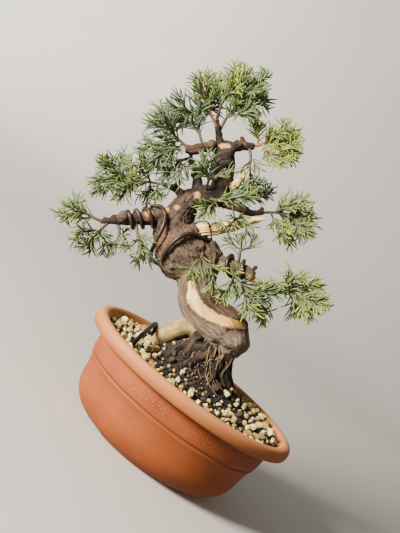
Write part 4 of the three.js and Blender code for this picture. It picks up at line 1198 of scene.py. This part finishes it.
# %% Cord and tip shapes
def tapered_cord(line, widths, sides=4):
    """Points and faces of a closed cord through a line of points; the last point is its tip."""
    line = [Vector(point) for point in line]
    upright = Vector((0.3, 1, 0.1))
    points, faces = [], []
    for i, width in enumerate(widths):
        ahead = (line[i + 1] - line[max(i - 1, 0)]).normalized()
        side = ahead.cross(upright).normalized()
        other = ahead.cross(side)
        for k in range(sides):
            angle = 2 * math.pi * k / sides
            points.append(line[i] + (side * math.cos(angle) + other * math.sin(angle)) * width)
    points.append(line[-1])
    for i in range(len(widths) - 1):
        for k in range(sides):
            after = (k + 1) % sides
            faces.append([i * sides + k, i * sides + after, (i + 1) * sides + after, (i + 1) * sides + k])
    last = (len(widths) - 1) * sides
    faces += [[last + k, last + (k + 1) % sides, len(points) - 1] for k in range(sides)]
    faces.append(list(range(sides))[::-1])
    return points, faces


def long_cord(bend):
    """A needle-like cord, 1 long and 1 thick, so that a copy can be stretched to any size. Its rings stay
    square to the long axis, so it stays thin where it bends."""
    straight = [(0, 0, z) for z in (0, 0.25, 0.5, 0.75, 0.93, 1.0)]
    points, faces = tapered_cord(straight, (0.34, 0.48, 0.5, 0.44, 0.26))
    points = np.array([tuple(p) for p in points])
    points[:, 1] += bend * points[:, 2] ** 2
    return points, faces, points[:, 2]


def forked_tip(seed, pairs):
    """A stubby cord, 1 long, with short cords forking off to both sides."""
    fork_dice = random.Random(seed)
    points, faces = tapered_cord([(0, 0, 0), (0, 0.05, 0.5), (0, 0.1, 0.9), (0, 0.1, 1)], (0.07, 0.085, 0.06))
    heights = [0.25 + 0.75 * p.z for p in points]
    for i in range(pairs):
        share = 0.2 + 0.6 * i / pairs
        for side in (-1, 1):
            foot = Vector((0, 0.1 * share, share + 0.05 * side))
            reach = fork_dice.uniform(0.26, 0.4) * (1.1 - 0.4 * share)
            out = Vector((side * 0.75, fork_dice.uniform(-0.35, 0.35), 0.7)).normalized()
            line = [foot, foot + out * reach * 0.85, foot + out * reach]
            fork, fork_faces = tapered_cord(line, (0.06, 0.07), 3)
            base = len(points)
            points += fork
            faces += [[v + base for v in face] for face in fork_faces]
            heights += [share, share, share, 0.9, 0.9, 0.9, 1.0]
    return np.array([tuple(p) for p in points]), faces, np.array(heights)


CORDS = [long_cord(bend) for bend in (1.2, 2.6, -1.4, 3.6, 1.8)]
FORKS = [forked_tip(1, 2), forked_tip(2, 3), forked_tip(3, 3)]
print("faces in a cord and in the forked tips", len(CORDS[0][1]), [len(fork[1]) for fork in FORKS])

# %% Sprays as routes
# Each spray: how bright it is, partly its own tone and partly painted light and shade, the share of
# forked shoots, its main twig, and its side twigs [share along the main, middle, tip]
SPRAYS = {
    "apex_left": (0.6, 0.1, [(9, 3.5, 206), (3, -3, 217), (-1, -6, 232), (1, -8, 248)], [
        (0.55, (-4, -12, 234), (-8, -16, 243)),
    ]),
    "apex_top": (0.85, 0.5, [(8, 2, 211), (13, 2, 228), (19, 2, 242), (25, 0, 255)], [
        (0.25, (7, 8, 239), (9, 12, 253)), (0.45, (26, -10, 238), (33, -14, 247)),
        (0.4, (22, 16, 244), (30, 24, 257)),
    ]),
    "apex_right": (0.5, 0.15, [(10.5, 5.5, 203), (20, 4, 219), (34, 6, 229), (47, 8, 237)], [
        (0.4, (34, -8, 233), (48, -14, 246)), (0.6, (42, 16, 234), (52, 22, 236)),
        (0.25, (28, -8, 215), (37, -14, 213)),
    ]),
    "upper_left": (0.32, 0.0, [(-4, -4, 188), (-7, -5, 199), (-8, -6, 212), (-7, -6, 223)], [
        (0.7, (-18, -10, 218), (-30, -12, 220)), (0.5, (-17, 0, 211), (-28, 6, 217)),
        (0.8, (-1, 2, 224), (3, 6, 228)),
    ]),
    "left_fan": (0.36, 0.1, [(-17, -6, 185), (-26, -8, 193), (-36, -10, 202), (-47, -12, 206)], [
        (0.25, (-35, -1, 191), (-53, 4, 189)), (0.4, (-31, -16, 202), (-39, -20, 211)),
        (0.15, (-29, -14, 181), (-43, -18, 173)),
    ]),
    "left_tuft": (0.28, 0.1, [(-15.5, -2, 177), (-23, -4, 174), (-31, -6, 167), (-37, -8, 161)], [
        (0.35, (-22, -12, 166), (-24, -14, 158)), (0.25, (-31, 4, 178), (-42, 8, 178)),
    ]),
    "mid_left": (0.55, 0.1, [(-37, 13.5, 157), (-55, 15, 160), (-74, 15, 161), (-98, 15, 163)], [
        (0.25, (-53, 5, 166), (-54, 0, 175)), (0.4, (-69, 22, 172), (-77, 26, 183)),
        (0.6, (-82, 8, 169), (-91, 4, 175)), (0.7, (-89, 22, 158), (-98, 26, 155)),
        (0.25, (-52, 22, 154), (-54, 26, 150)), (0.45, (-70, 6, 152), (-78, 0, 146)),
        (0.12, (-44, 8, 150), (-42, 4, 145)),
    ]),
    "left_low_outer": (0.6, 0.05, [(-90, -15, 118.5), (-98, -17, 122), (-107, -18, 127), (-118, -18, 131)], [
        (0.5, (-110, -26, 123), (-117, -29, 120)), (0.6, (-111, -12, 134), (-116, -8, 137)),
    ]),
    "left_low_hanging": (0.5, 0.0, [(-84, -14, 118), (-91, -18, 110), (-96, -19, 103), (-100, -20, 97)], [
        (0.35, (-100, -26, 109), (-106, -28, 106)), (0.4, (-88, -10, 104), (-86, -6, 99)),
    ]),
    "left_low_stringy": (0.8, 0.1, [(-76, -12, 118), (-75, -14, 108), (-77, -15, 102), (-79, -15, 96)], [
        (0.4, (-72, -8, 108), (-69, -4, 102)),
    ]),
    "left_under": (0.55, 0.1, [(-61, -11, 118), (-59, -16, 107), (-53, -18, 95), (-50, -18, 86)], [
        (0.4, (-59, -22, 101), (-63, -26, 96)), (0.6, (-57, -9, 92), (-60, -4, 86)),
    ]),
    "centre_up": (0.35, 0.0, [(-2, -6, 146), (1, -15, 154), (3, -17, 163), (7, -18, 171)], [
        (0.4, (-3, -20, 161), (-5, -22, 169)), (0.35, (9, -22, 156), (18, -26, 159)),
    ]),
    "centre_right": (0.6, 0.2, [(2, -6, 140), (9, -18, 136), (22, -22, 137), (35, -22, 138)], [
        (0.3, (3, -24, 130), (-3, -28, 126)), (0.55, (22, -16, 145), (28, -14, 150)),
    ]),
    "right_back": (0.35, 0.3, [(25, 2, 135), (34, 14, 143), (44, 20, 149), (55, 24, 153)], [
        (0.5, (38, 12, 152), (41, 8, 156)),
    ]),
    "right_mid_front": (0.45, 0.2, [(31.5, -2, 131), (29, -17, 123), (22, -25, 117), (15, -28, 110)], [
        (0.4, (32, -24, 113), (32, -27, 106)),
    ]),
    "right_mid": (0.65, 0.55, [(47, 0, 129), (60, 0, 129), (72, 0, 126), (84, 0, 122)], [
        (0.3, (68, -6, 133), (83, -8, 136)), (0.4, (71, 6, 118), (74, 8, 109)),
        (0.6, (80, 8, 129), (86, 12, 132)), (0.65, (78, -8, 115), (84, -10, 111)),
        (0.2, (59, -8, 117), (64, -10, 107)),
    ]),
    "right_low_end": (0.85, 0.7, [(41, -17, 67), (57, -16, 62), (71, -16, 60), (86, -16, 55)], [
        (0.6, (80, -10, 65), (92, -8, 64)), (0.7, (80, -20, 49), (85, -22, 39)),
        (0.55, (73, -8, 50), (76, -4, 42)), (0.75, (86, -26, 50), (93, -30, 48)),
        (0.5, (67, -20, 66), (71, -22, 69)),
    ]),
    "right_low_mid": (0.7, 0.2, [(19, -13, 79), (22, -28, 71), (29, -31, 62), (39, -29, 53)], [
        (0.6, (31, -34, 50), (34, -36, 41)), (0.35, (17, -34, 59), (12, -38, 53)),
        (0.7, (45, -24, 58), (54, -22, 60)), (0.75, (42, -20, 47), (46, -16, 39)),
    ]),
    "front_hanging": (0.7, 0.0, [(-4, -15, 92), (-5, -31, 85), (-7, -34, 76), (-9, -34, 68)], [
        (0.35, (-13, -36, 77), (-16, -38, 71)), (0.4, (2, -36, 76), (5, -38, 66)),
    ]),
    "right_up": (0.5, 0.2, [(25.5, -15, 80), (27, -19, 90), (28, -19, 96), (29, -18, 101)], [
        (0.5, (22, -14, 99), (19, -12, 105)), (0.45, (35, -24, 95), (39, -26, 96)),
    ]),
    "top_right": (0.95, 0.75, [(40, 3, 189), (52, 4, 192), (63, 4, 194), (72, 4, 194)], [
        (0.3, (58, -4, 197), (69, -8, 200)), (0.5, (66, 8, 188), (75, 12, 184)),
        (0.25, (54, -6, 180), (64, -10, 171)), (0.65, (69, 12, 202), (75, 15, 203)),
        (0.6, (67, -8, 185), (74, -12, 182)), (0.12, (45, 0, 198), (45, 0, 206)),
    ]),
    "top_right_hanging": (0.6, 0.0, [(37, 2.5, 188), (38, -2, 177), (37, -4, 168), (38, -4, 157)], [
        (0.45, (31, -8, 167), (29, -10, 161)),
    ]),
}

# %% Sizes and spacing of the foliage
# Radii along a main twig, a side twig and a shoot, then steps, thickness and lengths in mm
MAIN_TWIG = [1.5, 1.3, 1.0, 0.75]
SIDE_TWIG = [0.95, 0.85, 0.7]
SHOOT = [0.6, 0.5, 0.4]
CORD_STEP = 1.8
CORD_THICK = 1.5
CORD_LENGTH = (9.5, 16.0)
SHOOT_STEP = 6.5
SHOOT_LENGTH = (9.0, 16.0)
SHOOT_CORD_STEP = 1.7
FORKED_SHOOT_STEP = 2.2
SHOOT_CORD_LENGTH = (7.0, 13.0)
FORK_LENGTH = (4.5, 7.5)
GOLDEN = 2.39996
QUARTER = math.pi / 2
# How much longer the cords of some sprays are, and how much wider apart (over 1) or closer (under 1)
LONG = {"upper_left": 1.35, "left_fan": 1.3, "left_tuft": 1.3, "apex_left": 1.2, "apex_top": 1.15,
        "apex_right": 1.2, "top_right_hanging": 1.3, "front_hanging": 1.15, "centre_up": 1.15}
SPACING = {"front_hanging": 1.8, "left_low_stringy": 1.5, "right_mid_front": 1.3, "right_up": 1.9,
           "top_right_hanging": 1.3, "apex_left": 1.1, "left_under": 1.25, "mid_left": 0.66,
           "upper_left": 0.8, "left_fan": 0.8, "right_mid": 0.8, "top_right": 0.8,
           "left_low_hanging": 0.8, "left_low_outer": 0.8, "apex_top": 0.75, "apex_right": 0.8,
           "right_low_end": 0.85, "right_low_mid": 0.9}


# %% Growing twigs and shoots
def twigs_of(main_points, side_points):
    main = stem_of(main_points, MAIN_TWIG)
    return [main, *(stem_of((main.point(share), middle, tip), SIDE_TWIG) for share, middle, tip in side_points)]


def to_side(i):
    """The angle of the i-th leaf: in turn to the left and to the right."""
    return QUARTER if i % 2 else -QUARTER


def shoots_of(stem, first, step, dice):
    """Small curved shoots that rise from a twig, in turn to its left and right, longest near its foot."""
    shoots = []
    count = round(stem.length() * (1 - first) / step)
    for i in range(count):
        t = first + (1 - first) * (i + dice.uniform(0.2, 0.8)) / count
        foot, ahead, front, side = stem.frame(t)
        round_it = dice.uniform(-0.9, 0.9) + to_side(i)
        out = front * math.cos(round_it) + side * math.sin(round_it)
        lean = dice.uniform(0.45, 0.85)
        reach = dice.uniform(*SHOOT_LENGTH) * (1.05 - 0.45 * t)
        direction = ahead * math.cos(lean) + out * math.sin(lean)
        middle = foot + direction * reach * 0.5
        tip = foot + (direction + 0.25 * ahead + np.array([0, 0, 0.12])) * reach * 0.85
        shoots.append(stem_of((foot, middle, tip), SHOOT))
    return shoots

# %% Places along a twig
def stations(stem, first, spacing, dice, sway, leans, turn=None):
    """Places along a twig, each with its share, foot, way out and way the leaf points. They turn
    steadily round the twig from a given angle, or else lie in turn to its two sides."""
    step, least = spacing
    count = max(least, round(stem.length() * (1 - first) / step))
    for i in range(count + 1):
        t = first + (1 - first) * min(i, count - 0.02) / count
        foot, ahead, front, side = stem.frame(t)
        if turn is None:
            angle = to_side(i) + dice.uniform(-sway, sway)
        else:
            turn += GOLDEN
            angle = turn
        out = front * math.cos(angle) + side * math.sin(angle)
        lean = 0.1 if i == count else dice.uniform(*leans)
        yield t, foot, out, ahead * math.cos(lean) + out * math.sin(lean)


def stand(foot, across, direction, thick, reach):
    """The matrix that puts a unit cord on its foot: thick across and reach long."""
    z = direction / np.linalg.norm(direction)
    x = np.cross(across, z)
    x /= np.linalg.norm(x)
    matrix = np.eye(4)
    matrix[:3, :3] = np.stack([x * thick, np.cross(z, x) * thick, z * reach], axis=1)
    matrix[:3, 3] = foot
    return matrix


# %% Leaves on the places
def tint_of(heights, light, tone):
    """Each point's colour: how bright, which green, how woody. The brightness is partly the fresh growth's own
    colour and partly painted light.
    """
    ones = np.ones(len(heights))
    return np.stack([heights * light, ones * tone, ones * 0, ones], axis=1)


def cords_along(stem, first, step, lengths, thick, dice, light, feather):
    """Placements of cords along a twig: in flat pairs where feather is true, else all round it."""
    placed = []
    turn = dice.uniform(0, 6.28)
    for t, foot, out, direction in stations(stem, first, (step, 3), dice, 0.6, (0.28, 0.62),
                                            None if feather else turn):
        reach = dice.uniform(*lengths) * (1.1 - 0.3 * t)
        points, faces, heights = dice.choice(CORDS)
        # Painted light and shade: a cord's brightness follows its spray's and shoot's light and rises towards
        # its tip
        glow = min(1.0, light * dice.uniform(0.5, 1.2))
        matrix = stand(foot, out, direction, thick * dice.uniform(0.85, 1.1), reach)
        placed.append(((points, faces), matrix, tint_of(0.15 + 0.85 * heights, glow, dice.random())))
    return placed


def forks_along(stem, first, step, dice, light):
    """Placements of bright forked tips along the outer part of a shoot."""
    placed = []
    for _, foot, out, direction in stations(stem, first, (step, 2), dice, 0.7, (0.45, 0.8)):
        reach = dice.uniform(*FORK_LENGTH)
        points, faces, heights = dice.choice(FORKS)
        matrix = stand(foot, out, direction, reach, reach)
        placed.append(((points, faces), matrix, tint_of(heights, light, dice.random())))
    return placed

# %% Keeping the cords clear
def rod_table(stems, samples=30):
    """Balls along stems as rows of x, y, z and radius."""
    return np.array([(*stem.point(i / samples), stem.radius(i / samples))
                     for stem in stems for i in range(samples + 1)])


CORD_ROOM = 0.7
WIRE_STEMS = [stem_of(route, [WIRE_RADIUS] * len(route)) for route in (WIRE_LEFT, WIRE_RIGHT)]
SOLID = np.vstack([rod_table([*WOOD, JIN_RIGHT, JIN_UPPER]), rod_table(WIRE_STEMS, 160)])
CUT_TOP = Stem([[15, -6, 166, 5], [16, -6, 176, 5], [16, -6, 186, 6], [15, -6, 192, 6]])
SHOWN = rod_table([JIN_UPPER, CUT_TOP], 20)


def places_on(matrix, shares):
    return np.array([matrix[:3, 3] + matrix[:3, 2] * share for share in shares])


def is_free(matrix):
    """Whether a cord's middle and tip lie outside the wood and the wires."""
    ends = places_on(matrix, (0.45, 0.75, 1.0))
    gaps = np.linalg.norm(ends[:, None, :] - SOLID[None, :, :3], axis=2) - SOLID[None, :, 3]
    return gaps.min() > CORD_ROOM


def hides_nothing(matrix):
    """Whether a cord leaves the short dead branch and the cut top in sight from the front."""
    ends = places_on(matrix, (0.1, 0.4, 0.7, 1.0))
    gaps = np.hypot(ends[:, None, 0] - SHOWN[None, :, 0], ends[:, None, 2] - SHOWN[None, :, 2])
    return (gaps - SHOWN[None, :, 3]).min() > 1.0 or ends[:, 1].min() > -1


def shortened(placed, low, high):
    """Shortens the cords that would leave a box, and drops those that would become stubs."""
    kept = []
    for shape, matrix, colour in placed:
        foot, reach = matrix[:3, 3], matrix[:3, 2]
        limits = np.where(reach > 0, high - foot, low - foot) / np.where(np.abs(reach) < 1e-9, 1e-9, reach)
        share = min(1.0, limits.min())
        if share > 0.3:
            matrix = matrix.copy()
            matrix[:3, 2] *= share
            kept.append((shape, matrix, colour))
    return kept

# %% Grow the sprays
SPRAY_ROOM = 2
ORANGE_TWIGS = ("apex_left", "top_right")


def leaves_of(twigs, name, light, forked):
    """Placements of all cords of a spray, and its shoots."""
    dice = random.Random(name)
    longer, spacing = LONG.get(name, 1.0), SPACING.get(name, 1.0)
    lengths = [value * longer for value in CORD_LENGTH]
    shoot_lengths = [value * longer for value in SHOOT_CORD_LENGTH]
    thick = CORD_THICK / max(1.0, spacing ** 0.5)
    shoots, placed = [], []
    for i, twig in enumerate(twigs):
        first = 0.25 if i == 0 else 0.12
        placed += cords_along(twig, first, CORD_STEP * spacing, lengths, thick, dice, 0.75 * light, False)
        shoots += shoots_of(twig, first, SHOOT_STEP * spacing, dice)
    for shoot in shoots:
        shoot_light = light * dice.uniform(0.55, 1.25)
        first, step = 0.1, SHOOT_CORD_STEP
        if dice.random() < forked:
            first, step = 0.05, FORKED_SHOOT_STEP
            placed += forks_along(shoot, 0.35, step, dice, min(1.0, shoot_light * 1.15))
        placed += cords_along(shoot, first, step, shoot_lengths, thick, dice, shoot_light, True)
    return [leaf for leaf in placed if is_free(leaf[1]) and hides_nothing(leaf[1])], shoots


def grow_spray(name, light, forked, main_points, side_points, finish):
    twigs = twigs_of(main_points, side_points)
    placed, shoots = leaves_of(twigs, name, light, forked)
    into_scene = np.array(PLANTED)
    node_low, node_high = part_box("spray_" + name)
    room = Vector([SPRAY_ROOM * MM] * 3)
    low = np.maximum(node_low - room, CAD_BOX[0])
    high = np.minimum(node_high + room, CAD_BOX[1])
    planted = [(shape, into_scene @ matrix, colour) for shape, matrix, colour in placed]
    leaves = copies("leaves", shortened(planted, low, high))
    wood = tube_object("twigs", twigs, steps=3, sides=1)
    paint(wood, [0.0, 1.0 if name in ORANGE_TWIGS else 0.5, 1.0, 1.0])
    green_wood = tube_object("shoots", shoots, steps=3, sides=1)
    paint(green_wood, [0.25, 0.5, 0.4, 1.0])
    merge(leaves, wood, green_wood)
    write_points(leaves, np.clip(read_points(leaves), low, high))
    smooth(leaves)
    finish_piece(leaves, "foliage_" + name, finish, ["spray_" + name])

# %% Foliage finish
foliage = Finish("juniper_green", 0.6)
bright, tone, woody, _ = foliage.channels("tint")
marks = foliage.speckled(70.0, 1600.0)
deep = foliage.mix(tone, (0.030, 0.062, 0.026), (0.165, 0.240, 0.105))
twig_colour = foliage.mix(marks["Grain"], (0.048, 0.030, 0.017), (0.150, 0.095, 0.045))
twig_colour = foliage.mix(foliage.ramp(tone, 0.5, 1.0), twig_colour, (0.50, 0.23, 0.085))
# The bright yellow-green is partly the fresh tips' own colour and partly painted light on the outer ends and
# the brighter sprays
foliage.set("Base Color", foliage.layers(deep, [
    (foliage.ramp(marks["Blotch"], 0, 1, 0, 0.35), (0.10, 0.14, 0.06)),
    (foliage.ramp(bright, 0.15, 0.9), (0.50, 0.61, 0.055)),
    (woody, twig_colour),
]))
foliage.bump(marks["Grain"], 0.5, 0.0003)

for spray_name, (light, forked, main_points, side_points) in SPRAYS.items():
    grow_spray(spray_name, light, forked, main_points, side_points, foliage)

# %% [markdown]
# ## Stage
# A pale floor that curves up into a pale wall behind the tree leaves no horizon, which would show
# tilted in a rolled view. Its bend is a row of short flats, shaded smooth. It throws no light back
# on the pot, as if a dark cloth lay out of sight below it, so the pot's shaded side stays deep.

# %% Floor and backdrop
bpy.ops.object.select_all(action="DESELECT")
bpy.ops.mesh.primitive_plane_add(size=1, location=(0, 0, 0))
floor = bpy.context.object
floor.name = "pale_floor"
write_points(floor, [(-4, -3, 0), (4, -3, 0), (-4, 1, 0), (4, 1, 0)])
bpy.ops.object.mode_set(mode="EDIT")
bpy.ops.mesh.select_mode(type="EDGE")
bpy.ops.mesh.select_all(action="DESELECT")
bpy.ops.object.mode_set(mode="OBJECT")
for edge in floor.data.edges:
    ends = [floor.data.vertices[v].co for v in edge.vertices]
    edge.select = all(end.y > 0.9 for end in ends)
bpy.ops.object.mode_set(mode="EDIT")
BEND_STEPS = 16
BEND_RADIUS = 1.2
step = BEND_RADIUS * QUARTER / BEND_STEPS
for i in range(BEND_STEPS):
    angle = QUARTER * (i + 0.5) / BEND_STEPS
    bpy.ops.mesh.extrude_region_move(TRANSFORM_OT_translate={
        "value": (0, step * math.cos(angle), step * math.sin(angle))})
bpy.ops.mesh.extrude_region_move(TRANSFORM_OT_translate={"value": (0, 0, 4)})
bpy.ops.mesh.select_all(action="SELECT")
bpy.ops.mesh.normals_make_consistent(inside=False)
bpy.ops.object.mode_set(mode="OBJECT")
bpy.ops.object.shade_smooth()

# %% Backdrop finish
backdrop = Finish("pale_backdrop", 0.9)
blotch = backdrop.speckled(3.0, 60.0)["Blotch"]
backdrop.set("Base Color", backdrop.mix(blotch, (0.66, 0.63, 0.585), (0.69, 0.66, 0.615)))
floor.data.materials.append(backdrop.material)
floor.visible_diffuse = False

# %% [markdown]
# ## Light
# The light is soft and comes mostly from above and to the left in the rolled view, with a weak fill
# from the front, both aimed at the tree's middle. A third lamp glows on the backdrop only. Area
# lights are soft because they are wide, and a pale world lifts the shadows.

# %% Soft studio light
MIDDLE = POT + Vector((-0.03, 0, 0.15))


def area_light(name, at, direction, size, watts, colour):
    turn = direction.to_track_quat("-Z", "Y").to_euler()
    bpy.ops.object.select_all(action="DESELECT")
    bpy.ops.object.light_add(type="AREA", location=at, rotation=turn)
    lamp = bpy.context.object
    lamp.name = name
    lamp.data.size = size
    lamp.data.energy = watts
    lamp.data.color = colour


def studio_light(name, shares, distance, size, watts, colour):
    """A light towards the tree's middle, from a side given as right, up and ahead shares of the view."""
    side = sum((axis * share for axis, share in zip((VIEW_RIGHT, VIEW_UP, VIEW_AHEAD), shares)), Vector())
    area_light(name, MIDDLE + side.normalized() * distance, -side, size, watts, colour)


studio_light("key_above_left", (-0.52, 0.66, -0.60), 1.5, 0.45, 92, (1.0, 0.93, 0.82))
studio_light("fill_front", (-0.2, 0.3, -0.9), 1.8, 1.4, 3, (1.0, 0.95, 0.88))
glow_at, glow_to = Vector((-1.25, 0.9, 1.25)), Vector((-1.3, 2.1, 0.35))
area_light("backdrop_glow", glow_at, glow_to - glow_at, 0.8, 44, (1.0, 0.97, 0.92))
world = bpy.data.worlds.new("studio_air")
bpy.context.scene.world = world
world.use_nodes = True
air = world.node_tree.nodes["Background"].inputs
air["Color"].default_value = (0.90, 0.87, 0.82, 1)
air["Strength"].default_value = 0.24
